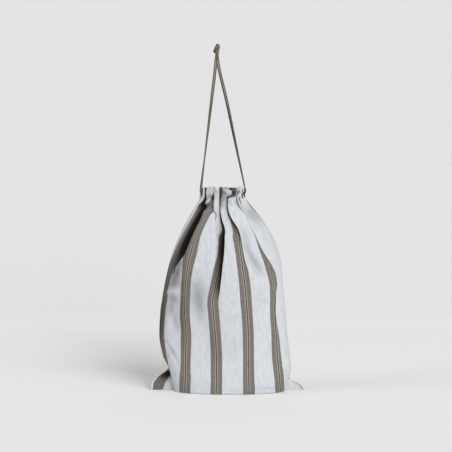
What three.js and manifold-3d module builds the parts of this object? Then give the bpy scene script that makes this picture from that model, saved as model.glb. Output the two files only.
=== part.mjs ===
// A cotton drawstring bag that stands full on its base, its mouth gathered and its cords drawn up.
// Two equal panels are sewn together along both sides and the bottom, which leaves a flat corner at
// each end of the base. A strand of cord comes out of each end of each panel's top hem, and the four
// strands meet in one knot above the bag.
// Millimetres, +Z up. The front faces -Y, +X is to the right as seen from the front, and the origin
// is on the floor below the middle of the bag.

import * as THREE from 'three';
import { mergeVertices } from 'three/addons/utils/BufferGeometryUtils.js';
import loadManifold from 'manifold-3d';

// Cloth
const PANEL_WIDTH = 350;
const CLOTH_THICKNESS = 1.2;
const HEM_THICKNESS = 1.6;
const SEAM_GAP = 0.5;
const CORNER_SPREAD = 1.4;
const CORNER_TOP = 45;
const SEAM_CLOSED = 75;

// Heights
const WALL_FOOT = 15;
const HEM_FOOT = 419;
const RIM = 446;
const SLIT_FOOT = 418;
const SLIT_TOP = 430;
const SLIT_WIDTH = 11;

// Cord
const CORD_DIAMETER = 3.4;
const CORD_SIDES = 8;
const CORD_STEPS = 26;
const KNOT_FOOT = 738.5;
const KNOT_PLACE = { x: -18.7, y: 0 };

// Colours
const CLOTH_COLOUR = 0xd8dbe0;
const CORD_COLOUR = 0x7d7367;

// Turns rows of numbers into objects with named columns.
function table(columns, rows) {
  return rows.map((row) => Object.fromEntries(columns.map((column, i) => [column, row[i]])));
}

// Level sections of the filled bag. left and right: the side seams, which run out along the flat
// corners at the floor. bodyLeft and bodyRight: the ends of the round body. front and back: how far
// it bulges. square: 2 for an ellipse, more for a squarer body. turn: the angle in degrees by which the
// left seam has swung to the front. line1 to line5: where the lines at CLOTH_LINES of the front panel
// lie across the front.
const SECTIONS = table(
  ['z', 'left', 'right', 'bodyLeft', 'bodyRight', 'front', 'back', 'square', 'turn',
    'line1', 'line2', 'line3', 'line4', 'line5'],
  [
    [0, -172, 172, -116, 131, 50, 50, 1.5, 0, -150, -87.5, -19.5, 50.5, 119],
    [15, -158, 163, -118, 135, 58, 58, 1.75, 0, -138, -87, -19.5, 50.5, 118],
    [30, -143.5, 141, -123.5, 141, 64, 64, 1.95, 0, -129, -86.5, -19, 50, 116.5],
    [45, -128, 144, -128, 144, 67.5, 67.5, 2.1, 0, -124.5, -86, -19, 49.5, 115],
    [75, -136, 142, -136, 142, 70.5, 70.5, 2.25, 0, -133, -85.5, -19, 49, 112],
    [125, -143.5, 136, -143.5, 136, 71.5, 71.5, 2.3, 0, -139.5, -84, -21.5, 48.5, 107],
    [175, -143, 132, -143, 132, 71, 71, 2.25, 0, -137.5, -87, -25.5, 46.5, 103.5],
    [225, -134, 129, -134, 129, 70, 70, 2.15, 0, -129.5, -86.5, -22.5, 42.5, 103],
    [270, -123, 125, -123, 125, 67, 68, 2.15, 4, -117, -81, -15.5, 35.5, 96],
    [310, -110, 115, -110, 115, 62, 64, 2.15, 10, -95, -71.5, -9.5, 28.5, 76],
    [345, -95.5, 99.5, -95.5, 99.5, 55, 58, 2.15, 14, -77, -60.5, -8, 22, 59],
    [375, -80, 79, -80, 79, 47, 49, 2.15, 18, -62, -46.5, -10.5, 12, 49],
    [403, -66, 56, -66, 56, 39, 40, 2.15, 20, -54, -34, -12, 10, 41],
    [419, -57.5, 46, -57.5, 46, 34.5, 35.5, 2.15, 20, -50.5, -31, -12, 11.5, 39],
    [430, -55.5, 43, -55.5, 43, 33, 34, 2.15, 20, -49.5, -30, -12, 12.5, 37.5],
    [446, -55, 43.5, -55, 43.5, 34, 35, 2.15, 20, -49, -30, -12, 13, 38],
  ],
);
const CLOTH_LINES = [18, 87, 156, 225, 294];
const LINE_COLUMNS = ['line1', 'line2', 'line3', 'line4', 'line5'];

// Folds that run down from the gathered neck. neck and foot: the fold's place across the flat cloth,
// from the left seam, at the rim and where it dies. footZ: the height where it dies. fullZ: the height
// from which it has its whole depth. lean: how far its bottom slips under the ridge on its right, as a
// share of the depth. dip: how far the rim drops in the fold.
const FOLD_COLUMNS = ['neck', 'foot', 'footZ', 'fullZ', 'depth', 'lean', 'dip'];
const FRONT_FOLDS = table(FOLD_COLUMNS, [
  [38, 54, 225, 325, 23, -0.1, 2],
  [100, 100, 365, 415, 14, 0.4, 1],
  [152, 168, 200, 365, 18, 0.4, 3],
  [206, 242, 265, 355, 19, 0.34, 5],
  [253, 256, 380, 420, 12, 0.3, 1],
  [290, 306, 245, 340, 18, 0.4, 3],
]);
const BACK_FOLDS = table(FOLD_COLUMNS, [
  [46, 40, 300, 400, 16, 0.3, 2],
  [98, 84, 255, 365, 18, 0.4, 4],
  [146, 138, 345, 410, 15, 0.4, 2],
  [196, 200, 220, 360, 19, 0.4, 3],
  [248, 264, 290, 380, 17, 0.4, 4],
  [302, 314, 240, 350, 16, 0.3, 2],
]);

// Soft dents in the full part of the bag. across and z: the middle of the dent, on the flat cloth and
// in height. wide and tall: its reach. depth: how far it sinks.
const DENT_COLUMNS = ['across', 'z', 'wide', 'tall', 'depth'];
const FRONT_DENTS = table(DENT_COLUMNS, [
  [114, 200, 20, 36, 4.5],
  [256, 196, 24, 34, 4],
  [262, 300, 13, 34, 5],
  [60, 222, 26, 9, 2.5],
  [300, 175, 16, 50, 3],
  [86, 60, 30, 9, 2.5],
]);
const BACK_DENTS = table(DENT_COLUMNS, [
  [120, 170, 24, 46, 4.5],
  [232, 214, 22, 36, 4],
  [290, 110, 30, 16, 2.5],
  [66, 92, 28, 18, 3],
]);

// How rounded the bottom of a fold is, as a share of the step to its ridge.
const FOLD_ROUNDNESS = 0.26;

// Mesh: steps from one fold to the next, and the levels of the rows.
const FOLD_STEPS = [0, 0.12, 0.3, 0.5, 0.7, 0.88];
const END_STEPS = [0, 0.18, 0.36, 0.54, 0.72, 0.88];
const WALL_LEVELS = [
  15, 30, 45, 62, 88, 118, 148, 178, 205, 230, 253, 275, 296, 316, 335, 353, 370, 386, 400, 411, 419,
  430, 438, 446,
];
const OUTLINE_STEPS = 96;
const SHORTEST_STEP = 1e-6;

// Rows of the base, from the bottom seam to the wall. reach: how far towards the base's edge.
// bodyZ and cornerZ: the row's height under the body and in a flat corner.
const BASE_ROWS = table(['reach', 'bodyZ', 'cornerZ'], [
  [0, 0, 0],
  [0.5, 0, 3],
  [0.93, 0, 6],
  [1, 2.4, 9],
  [1, 7, 12],
]);
const FLOOR_ROWS = 3;
const LEVEL_ENOUGH = 0.9;
const CORNER_BLEND = { from: 3, to: 16 };

function mix(a, b, t) {
  return a + (b - a) * t;
}

function smoothstep(from, to, value) {
  const t = Math.min(1, Math.max(0, (value - from) / (to - from)));
  return t * t * (3 - 2 * t);
}

// A smooth curve through rising places that never overshoots the given values.
function smoothCurve(places, values) {
  const last = places.length - 1;
  const slopes = [];
  for (let i = 0; i < last; i += 1) {
    slopes.push((values[i + 1] - values[i]) / (places[i + 1] - places[i]));
  }
  const tangents = values.map((value, i) => {
    if (i === 0) return slopes[0];
    if (i === last) return slopes[last - 1];
    if (slopes[i - 1] * slopes[i] <= 0) return 0;
    return (2 * slopes[i - 1] * slopes[i]) / (slopes[i - 1] + slopes[i]);
  });
  return (place) => {
    let i = 0;
    while (i < last - 1 && place > places[i + 1]) i += 1;
    const span = places[i + 1] - places[i];
    const t = Math.min(1, Math.max(0, (place - places[i]) / span));
    const rise = t * t * (3 - 2 * t);
    return mix(values[i], values[i + 1], rise)
      + span * t * (1 - t) * ((1 - t) * tangents[i] - t * tangents[i + 1]);
  };
}

const SECTION_HEIGHTS = SECTIONS.map((row) => row.z);
const SECTION_CURVES = Object.fromEntries(Object.keys(SECTIONS[0]).map(
  (column) => [column, smoothCurve(SECTION_HEIGHTS, SECTIONS.map((row) => row[column]))],
));

// One column of the section table at any height.
function section(column, z) {
  return SECTION_CURVES[column](z);
}

// The outline of one panel at a height, from the left seam to the right one. side is -1 for the front
// and 1 for the back. Each point holds x, y and the length along the outline up to it.
function panelOutline(z, side) {
  const left = section('left', z);
  const right = section('right', z);
  const bodyLeft = Math.max(left, section('bodyLeft', z));
  const bodyRight = Math.min(right, section('bodyRight', z));
  const middle = (bodyLeft + bodyRight) / 2;
  const halfWidth = (bodyRight - bodyLeft) / 2;
  const frontDepth = section('front', z);
  const backDepth = section('back', z);
  const spread = mix(CORNER_SPREAD, SEAM_GAP / 2, smoothstep(CORNER_TOP, SEAM_CLOSED, z));
  const turn = THREE.MathUtils.degToRad(section('turn', z));
  const points = [{ x: left, y: side * spread, along: 0 }];
  const addPoint = (x, y) => {
    const before = points[points.length - 1];
    const step = Math.hypot(x - before.x, y - before.y);
    if (step > SHORTEST_STEP) points.push({ x, y, along: before.along + step });
  };
  const power = 2 / section('square', z);
  for (let i = 0; i <= OUTLINE_STEPS; i += 1) {
    const fromLeft = mix(side < 0 ? turn : -turn, Math.PI, i / OUTLINE_STEPS);
    const cosine = Math.cos(fromLeft);
    const sine = Math.sin(fromLeft);
    const x = middle - halfWidth * Math.sign(cosine) * Math.abs(cosine) ** power;
    const depth = sine * side < 0 ? frontDepth : backDepth;
    const y = side * (spread + Math.sign(sine) * depth * Math.abs(sine) ** power);
    if (i === 0 && turn > 0) points[0] = { x, y, along: 0 };
    addPoint(x, y);
  }
  addPoint(right, side * spread);
  return points;
}

// The outline's point and direction at a length along it.
function pointAlong(outline, along) {
  let i = 0;
  while (i < outline.length - 2 && along > outline[i + 1].along) i += 1;
  const a = outline[i];
  const b = outline[i + 1];
  const t = (along - a.along) / (b.along - a.along);
  const length = b.along - a.along;
  return {
    x: mix(a.x, b.x, t),
    y: mix(a.y, b.y, t),
    tangent: { x: (b.x - a.x) / length, y: (b.y - a.y) / length },
  };
}

// The length along an outline at which it first reaches x.
function alongAtX(outline, x) {
  let i = 0;
  while (i < outline.length - 2 && outline[i + 1].x < x) i += 1;
  const a = outline[i];
  const b = outline[i + 1];
  return mix(a.along, b.along, Math.min(1, Math.max(0, (x - a.x) / (b.x - a.x))));
}

// Where the cloth's width lies along the outline of a panel at a height.
function clothSpread(outline, z, side) {
  const whole = outline[outline.length - 1].along;
  const trim = (SEAM_GAP + SLIT_WIDTH * smoothstep(SLIT_FOOT, SLIT_TOP, z)) / 2;
  if (side > 0) return (across) => mix(trim, whole - trim, across / PANEL_WIDTH);
  const lines = LINE_COLUMNS.map((column) => alongAtX(outline, section(column, z)));
  return smoothCurve([0, ...CLOTH_LINES, PANEL_WIDTH], [trim, ...lines, whole - trim]);
}

// A fold's place across the cloth and its depth at a height.
function foldAt(fold, z) {
  return {
    across: mix(fold.foot, fold.neck, Math.min(1, Math.max(0, (z - fold.footZ) / (RIM - fold.footZ)))),
    depth: fold.depth * smoothstep(fold.footZ, fold.fullZ, z),
    lean: fold.lean,
    dip: fold.dip,
  };
}

// How deep in a fold a point is, from 1 at its bottom to 0 on the ridge half-way to the next one.
function foldProfile(step) {
  const rise = Math.hypot(Math.sin(Math.PI * step), FOLD_ROUNDNESS) - FOLD_ROUNDNESS;
  return 1 - rise / (Math.hypot(1, FOLD_ROUNDNESS) - FOLD_ROUNDNESS);
}

// The mesh columns of a panel: each lies a step of the way from one fold to the next.
function panelColumns(folds) {
  const columns = END_STEPS.map((step) => ({ left: -1, step }));
  folds.slice(1).forEach((fold, i) => {
    FOLD_STEPS.forEach((step) => columns.push({ left: i, step }));
  });
  END_STEPS.slice().reverse().forEach((step) => columns.push({ left: folds.length - 1, step: 1 - step }));
  columns.splice(columns.length - END_STEPS.length, 0, { left: folds.length - 1, step: 0 });
  return columns;
}

const FLAT = { depth: 0, lean: 0, dip: 0 };

// A column's place across the cloth at a height, with the fold that it lies in.
function columnAt(column, folds, z) {
  const fromSeam = column.left < 0;
  const toSeam = column.left === folds.length - 1;
  const a = fromSeam ? { ...FLAT, across: 0 } : foldAt(folds[column.left], z);
  const b = toSeam ? { ...FLAT, across: PANEL_WIDTH } : foldAt(folds[column.left + 1], z);
  let profile = foldProfile(column.step);
  if (fromSeam) profile = foldProfile(0.5 + column.step / 2);
  if (toSeam) profile = foldProfile(column.step / 2);
  const nearer = fromSeam || (!toSeam && column.step > 0.5) ? b : a;
  return {
    across: mix(a.across, b.across, column.step),
    bottom: nearer.across,
    depth: nearer.depth * profile,
    lean: nearer.depth * nearer.lean * profile,
    dip: nearer.dip * profile,
  };
}

function dentDepth(dents, across, z) {
  return dents.reduce((sum, dent) => {
    const u = (across - dent.across) / dent.wide;
    const v = (z - dent.z) / dent.tall;
    return sum + dent.depth * Math.exp(-u * u - v * v);
  }, 0);
}

// A point of a panel's outer surface on one column at a height. A fold sinks square to the outline at
// its own bottom, and a dent square to the outline at the point.
function wallPoint(panel, column, z) {
  const outline = panelOutline(z, panel.side);
  const spread = clothSpread(outline, z, panel.side);
  const { across, bottom, depth, lean, dip } = columnAt(column, panel.folds, z);
  const point = pointAlong(outline, spread(across));
  const fold = pointAlong(outline, spread(bottom)).tangent;
  const dent = dentDepth(panel.dents, across, z) * panel.side;
  const sunk = depth * panel.side;
  const rimShare = Math.max(0, (z - HEM_FOOT) / (RIM - HEM_FOOT));
  return new THREE.Vector3(
    point.x + fold.y * sunk + fold.x * lean + point.tangent.y * dent,
    point.y - fold.x * sunk + fold.y * lean - point.tangent.x * dent,
    z - dip * rimShare,
  );
}

// A point of the base on one column, from the bottom seam to the foot of the wall.
function basePoint(panel, column, row) {
  const { across } = columnAt(column, panel.folds, WALL_FOOT);
  const edge = wallPoint(panel, column, 0);
  const underBody = smoothstep(CORNER_BLEND.from, CORNER_BLEND.to, Math.abs(edge.y));
  const z = mix(row.cornerZ, row.bodyZ, underBody);
  const point = wallPoint(panel, column, z);
  const seamX = mix(section('left', 0), section('right', 0), across / PANEL_WIDTH);
  const toSeam = (1 - row.reach) * underBody;
  point.x = mix(point.x, seamX, toSeam);
  point.y = mix(point.y, panel.side * SEAM_GAP / 2, toSeam);
  return point;
}

// The outer surface of a panel as rows of points, from the bottom seam to the rim.
function panelSurface(panel) {
  const columns = panelColumns(panel.folds);
  const base = BASE_ROWS.map((row) => columns.map((column) => basePoint(panel, column, row)));
  const wall = WALL_LEVELS.map((z) => columns.map((column) => wallPoint(panel, column, z)));
  return [...base, ...wall];
}

// The outward direction of a surface of points, row by row.
function surfaceNormals(surface, side) {
  const rows = surface.length;
  const columns = surface[0].length;
  return surface.map((row, r) => row.map((point, c) => {
    const across = new THREE.Vector3().subVectors(
      row[Math.min(columns - 1, c + 1)],
      row[Math.max(0, c - 1)],
    );
    const up = new THREE.Vector3().subVectors(
      surface[Math.min(rows - 1, r + 1)][c],
      surface[Math.max(0, r - 1)][c],
    );
    return across.cross(up).multiplyScalar(-side).normalize();
  }));
}

// A closed sheet on a surface of points: an outer skin, an inner one and the four edges.
function sheetGeometry(surface, side) {
  const rows = surface.length;
  const columns = surface[0].length;
  const normals = surfaceNormals(surface, side);
  const positions = [];
  const addSkin = (share) => surface.forEach((row, r) => row.forEach((point, c) => {
    const thickness = point.z > HEM_FOOT ? HEM_THICKNESS : CLOTH_THICKNESS;
    const outward = normals[r][c].clone();
    if (r < FLOOR_ROWS && outward.z < -LEVEL_ENOUGH) outward.set(0, 0, -1);
    const moved = point.clone().addScaledVector(outward, -share * thickness);
    positions.push(moved.x, moved.y, Math.max(0, moved.z));
  }));
  addSkin(0);
  addSkin(1);
  const index = [];
  const inner = rows * columns;
  const addQuad = (a, b, c, d) => {
    if (side < 0) index.push(a, b, c, a, c, d);
    else index.push(a, c, b, a, d, c);
  };
  const at = (r, c) => r * columns + c;
  for (let r = 0; r < rows - 1; r += 1) {
    for (let c = 0; c < columns - 1; c += 1) {
      addQuad(at(r, c), at(r, c + 1), at(r + 1, c + 1), at(r + 1, c));
      addQuad(inner + at(r, c), inner + at(r + 1, c), inner + at(r + 1, c + 1), inner + at(r, c + 1));
    }
    addQuad(at(r, 0), at(r + 1, 0), inner + at(r + 1, 0), inner + at(r, 0));
    const end = columns - 1;
    addQuad(at(r, end), inner + at(r, end), inner + at(r + 1, end), at(r + 1, end));
  }
  for (let c = 0; c < columns - 1; c += 1) {
    const top = rows - 1;
    addQuad(at(0, c), inner + at(0, c), inner + at(0, c + 1), at(0, c + 1));
    addQuad(at(top, c), at(top, c + 1), inner + at(top, c + 1), inner + at(top, c));
  }
  const geometry = new THREE.BufferGeometry();
  geometry.setAttribute('position', new THREE.Float32BufferAttribute(positions, 3));
  geometry.setIndex(index);
  return geometry;
}

// Routes of the four strands, from inside the hem's open end up to the knot. The middle of a pair
// rises from the side of the neck, and its two strands turn about it from one behind the other to
// side by side.
const PAIR_COLUMNS = ['x', 'y', 'z', 'apartX', 'apartY'];
const LEFT_PAIR = table(PAIR_COLUMNS, [
  [-51.6, -10.7, 431.5, -1.9, 3.6],
  [-52.6, -11.4, 432.6, -2, 3.8],
  [-53.9, -12.4, 437, -2.3, 4.4],
  [-53, -12.2, 448, -2.2, 4.5],
  [-42, -8.6, 540, 1, 4.9],
  [-30.2, -4.8, 640, 3.4, 2.8],
  [-23.1, -3, 700, 3.7, 1],
  [-21.4, -2.5, 718, 3.8, 0.6],
  [-18.9, -2.1, 737.9, 3.8, 0],
]);
const RIGHT_PAIR = table(PAIR_COLUMNS, [
  [37.5, 1.6, 430.5, 0, 4.8],
  [41.6, 0.4, 431.5, 0, 5.2],
  [43.8, 0, 436.5, 0, 5.2],
  [41.8, 0, 448, 0, 5.2],
  [22.4, 0, 540, -2.4, 4.6],
  [1.6, 0.8, 640, -3.7, 2.4],
  [-12.9, 1.6, 700, -3.8, 1],
  [-16.3, 2.1, 718, -3.8, 0.6],
  [-18.5, 2.1, 737.8, -3.8, 0],
]);

// One strand of a pair. place is -1 for the front strand and 1 for the back one.
function strandGeometry(pair, place) {
  const route = pair.map((point) => new THREE.Vector3(
    point.x + (place * point.apartX) / 2,
    point.y + (place * point.apartY) / 2,
    point.z,
  ));
  const round = new THREE.Shape().absarc(0, 0, CORD_DIAMETER / 2, 0, 2 * Math.PI);
  return new THREE.ExtrudeGeometry(round, {
    steps: CORD_STEPS,
    curveSegments: CORD_SIDES / 2,
    extrudePath: new THREE.CatmullRomCurve3(route, false, 'centripetal'),
  });
}

// The knot: a core that takes the strands, two turns of cord that cross it, and the end on top.
const KNOT_CORE = table(['radius', 'z'], [[0, 0], [4.6, 0], [4.6, 13.6], [2.8, 17], [0, 17]]);
const KNOT_TURNS = table(['x', 'z', 'radius', 'cord', 'tilt'], [
  [-0.4, 8.6, 4.3, 3.2, -34],
  [0.6, 13.2, 3.8, 3, 28],
]);
const KNOT_END = { x: 2.2, z: 18.8, radius: 4 };
const KNOT_SEGMENTS = 10;
const SAME_POINT = 1e-3;

function knotGeometry(manifold) {
  const solid = (geometry) => {
    geometry.deleteAttribute('normal');
    geometry.deleteAttribute('uv');
    const merged = mergeVertices(geometry, SAME_POINT);
    return new manifold.Manifold(new manifold.Mesh({
      numProp: 3,
      vertProperties: new Float32Array(merged.attributes.position.array),
      triVerts: new Uint32Array(merged.index.array),
    }));
  };
  const profile = KNOT_CORE.map((point) => new THREE.Vector2(point.radius, point.z));
  const core = new THREE.LatheGeometry(profile, KNOT_SEGMENTS);
  core.rotateX(Math.PI / 2);
  let knot = solid(core);
  KNOT_TURNS.forEach((turn) => {
    const ring = new THREE.TorusGeometry(turn.radius, turn.cord, KNOT_SEGMENTS - 2, KNOT_SEGMENTS + 4);
    ring.rotateY(THREE.MathUtils.degToRad(turn.tilt));
    ring.translate(turn.x, 0, turn.z);
    knot = knot.add(solid(ring));
  });
  const end = new THREE.SphereGeometry(KNOT_END.radius, KNOT_SEGMENTS, KNOT_SEGMENTS - 2);
  end.translate(KNOT_END.x, 0, KNOT_END.z);
  const mesh = knot.add(solid(end)).getMesh();
  const geometry = new THREE.BufferGeometry();
  geometry.setAttribute('position', new THREE.Float32BufferAttribute(mesh.vertProperties, 3));
  geometry.setIndex(new THREE.Uint32BufferAttribute(mesh.triVerts, 1));
  return geometry;
}

const cloth = new THREE.MeshStandardMaterial({ color: CLOTH_COLOUR, roughness: 0.95, metalness: 0 });
const cord = new THREE.MeshStandardMaterial({ color: CORD_COLOUR, roughness: 0.9, metalness: 0 });

const bag = new THREE.Group();

function addMesh(name, geometry, material) {
  const mesh = new THREE.Mesh(geometry, material);
  mesh.name = name;
  bag.add(mesh);
  return mesh;
}

const PANELS = [
  { name: 'panel_front', side: -1, folds: FRONT_FOLDS, dents: FRONT_DENTS },
  { name: 'panel_back', side: 1, folds: BACK_FOLDS, dents: BACK_DENTS },
];
PANELS.forEach((panel) => {
  addMesh(panel.name, sheetGeometry(panelSurface(panel), panel.side), cloth);
});

[['left', LEFT_PAIR], ['right', RIGHT_PAIR]].forEach(([leg, pair]) => {
  addMesh(`cord_${leg}_front`, strandGeometry(pair, -1), cord);
  addMesh(`cord_${leg}_back`, strandGeometry(pair, 1), cord);
});

const manifold = await loadManifold();
manifold.setup();
const knot = addMesh('cord_knot', knotGeometry(manifold), cord);
knot.position.set(KNOT_PLACE.x, KNOT_PLACE.y, KNOT_FOOT);

export default bag;
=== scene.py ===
"""A full cotton drawstring bag on a studio floor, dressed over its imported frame.

The cloth is cut and shaped in millimetres, as on a maker's pattern, and becomes metres when a mesh is
made. The front faces -Y, +Z is up and the floor is at z = 0.
"""

import logging
import math
from dataclasses import dataclass
from enum import Enum
from typing import Callable, NamedTuple

import bmesh
import bpy
import numpy as np
from bpy.types import Material, Mesh, Node, NodeSocket, NodeTree, Object
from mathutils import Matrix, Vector


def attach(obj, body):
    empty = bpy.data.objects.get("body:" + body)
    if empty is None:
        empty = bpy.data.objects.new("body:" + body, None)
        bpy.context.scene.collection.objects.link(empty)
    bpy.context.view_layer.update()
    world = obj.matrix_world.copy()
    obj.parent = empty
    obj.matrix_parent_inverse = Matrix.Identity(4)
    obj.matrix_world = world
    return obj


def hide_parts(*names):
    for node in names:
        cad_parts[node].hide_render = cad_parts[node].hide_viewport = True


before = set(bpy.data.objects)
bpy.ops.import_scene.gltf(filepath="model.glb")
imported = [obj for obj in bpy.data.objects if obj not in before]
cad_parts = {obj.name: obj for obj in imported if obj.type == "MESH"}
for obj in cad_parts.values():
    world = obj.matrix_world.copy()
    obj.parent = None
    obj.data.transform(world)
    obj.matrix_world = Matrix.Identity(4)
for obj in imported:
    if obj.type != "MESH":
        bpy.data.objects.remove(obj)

LOG = logging.getLogger("drawstring_bag")
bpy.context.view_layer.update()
BODY = "root"
MM = 0.001
IMAGE_SIDE = 452
# How finely a cord's route is sampled: between two of its points, and at least in all
ROUTE_STEPS = 48
LEAST_ROUTE = 8

Curve = Callable[[np.ndarray], np.ndarray]


class Side(Enum):
    """Which side of the bag a panel or a strand is on: the sign of its outward y."""

    FRONT = -1
    BACK = 1

    @property
    def word(self) -> str:
        """Returns the side's word in the names of pieces."""
        return self.name.lower()


class Section(NamedTuple):
    """A level section of the full bag.

    left and right are the side seams, body_left and body_right the ends of the round body, front and
    back its bulge, square 2 for an ellipse, turn the degrees by which the left seam swings to the
    front, and line1 to line5 where the front panel's stripes lie.
    """

    z: float
    left: float
    right: float
    body_left: float
    body_right: float
    front: float
    back: float
    square: float
    turn: float
    line1: float
    line2: float
    line3: float
    line4: float
    line5: float


class TuckRow(NamedTuple):
    """A pleat at one height.

    place is its bottom's place across the flat cloth, hide how much cloth it hides on each side of
    that, show and gap how much of its left and right wall is seen from the front, dark how soon its
    painted shade deepens, 1 for an ordinary one, and left and right how far its lips lie below the cloth
    beside them.
    """

    z: float
    place: float
    hide: float
    show: float
    gap: float
    dark: float
    left: float = 0.0
    right: float = 0.0


@dataclass(frozen=True)
class Tuck:
    """A pleat that runs down from the rim.

    dip is how far the rim drops in it, flat 0 for one that stands straight back and 1 for one that is
    pressed flat to the right, and rows tell its course from its foot up.
    """

    dip: float
    flat: float
    rows: tuple[tuple[float, ...], ...]

    def at(self, z: float) -> TuckRow:
        """Returns the pleat at a height."""
        columns = list(zip(*(TuckRow(*row) for row in self.rows)))
        return TuckRow(z, *(float(smooth_curve(columns[0], column)(z)) for column in columns[1:]))


class Dent(NamedTuple):
    """A soft hollow in the full cloth: its middle, its reach, its depth and its share of painted shade.
    With no depth it is only a patch of painted shade.
    """

    across: float
    z: float
    wide: float
    tall: float
    depth: float
    dark: float


class Crease(NamedTuple):
    """A straight crease on the flat cloth. A negative depth raises a ridge."""

    across0: float
    z0: float
    across1: float
    z1: float
    width: float
    depth: float


class BaseRow(NamedTuple):
    """A row of the base: its reach to the edge, and its height under the body and in a flat corner."""

    reach: float
    body_z: float
    corner_z: float


SECTIONS = [Section(*row) for row in (
    (0, -164, 172, -113, 131, 66, 66, 2.35, 0, -151, -87.5, -19.5, 50.5, 119),
    (8, -163.8, 167.5, -114, 133, 67.6, 67.6, 2.45, 0, -149, -87.2, -19.5, 50.5, 118.5),
    (15, -163, 158, -115, 135, 69, 69, 2.55, 0, -147, -87, -19.5, 50.5, 118),
    (22, -159, 144, -116.5, 137, 69.6, 69.6, 2.65, 0, -142, -86.8, -19.2, 50.2, 117),
    (30, -151.5, 140.5, -118.5, 140.5, 70, 70, 2.7, 0, -136, -86, -19, 50, 116.5),
    (40, -134.5, 143.2, -121.5, 143.2, 70.3, 70.3, 2.7, 0, -128.5, -85.7, -19, 49.7, 115.5),
    (44, -130.3, 143.6, -123, 143.6, 70.4, 70.4, 2.68, 0, -122.95, -86, -19, 49.6, 115.1),
    (48, -126.2, 144, -124.6, 144, 70.5, 70.5, 2.65, 0, -124.5, -86.3, -19, 49.5, 114.7),
    (75, -137.4, 142, -137.4, 142, 71, 71, 2.5, 0, -133, -85.5, -19, 49.6, 112),
    (125, -145.6, 136, -145.6, 136, 71.5, 71.5, 2.35, 0, -140.8, -84, -21.5, 49.1, 110),
    (175, -143.2, 132, -143.2, 132, 71, 71, 2.3, 0, -138, -87, -25.5, 46.5, 107.2),
    (197, -140, 129.6, -140, 129.6, 70.7, 70.7, 2.25, 0, -134.5, -87, -27.4, 44.8, 107.6),
    (225, -135.2, 126.9, -135.2, 126.9, 70, 70, 2.15, 0, -130.5, -86.5, -22.5, 42.5, 106),
    (270, -126, 123.6, -126, 123.6, 67, 68, 2.15, 4, -120, -81, -13, 37, 96),
    (310, -113.6, 115, -113.6, 115, 62, 64, 2.15, 10, -98.2, -72, -4.5, 31.8, 76),
    (345, -99, 100, -99, 100, 55, 58, 2.15, 14, -79, -61.5, -3, 28, 59),
    (375, -83.2, 81, -83.2, 81, 47, 49, 2.15, 18, -63.8, -47, -9, 12.5, 44.5),
    (390, -75, 69, -75, 69, 42.7, 44.2, 2.15, 19.4, -56.5, -41.5, -11.4, 6.8, 38.1),
    (403, -66.8, 58.2, -66.8, 58.2, 39, 40, 2.15, 20, -50, -28, -12.4, 4.4, 33),
    (419, -57.5, 46.6, -57.5, 46.6, 34.5, 35.5, 2.15, 20, -44.8, -27.2, -12.3, 4.6, 27.5),
    (425, -56.3, 44.2, -56.3, 44.2, 33.6, 34.6, 2.15, 20, -44, -26.7, -12.2, 7, 27.8),
    (431, -55.5, 43, -55.5, 43, 33, 34, 2.15, 20, -43.6, -26.4, -12.1, 14, 28),
    (446, -55, 43.5, -55, 43.5, 34, 35, 2.15, 20, -43.4, -26.4, -12, 14.5, 29),
)]
STRIPE_LINES = (18, 87, 156, 225, 294)
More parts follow.
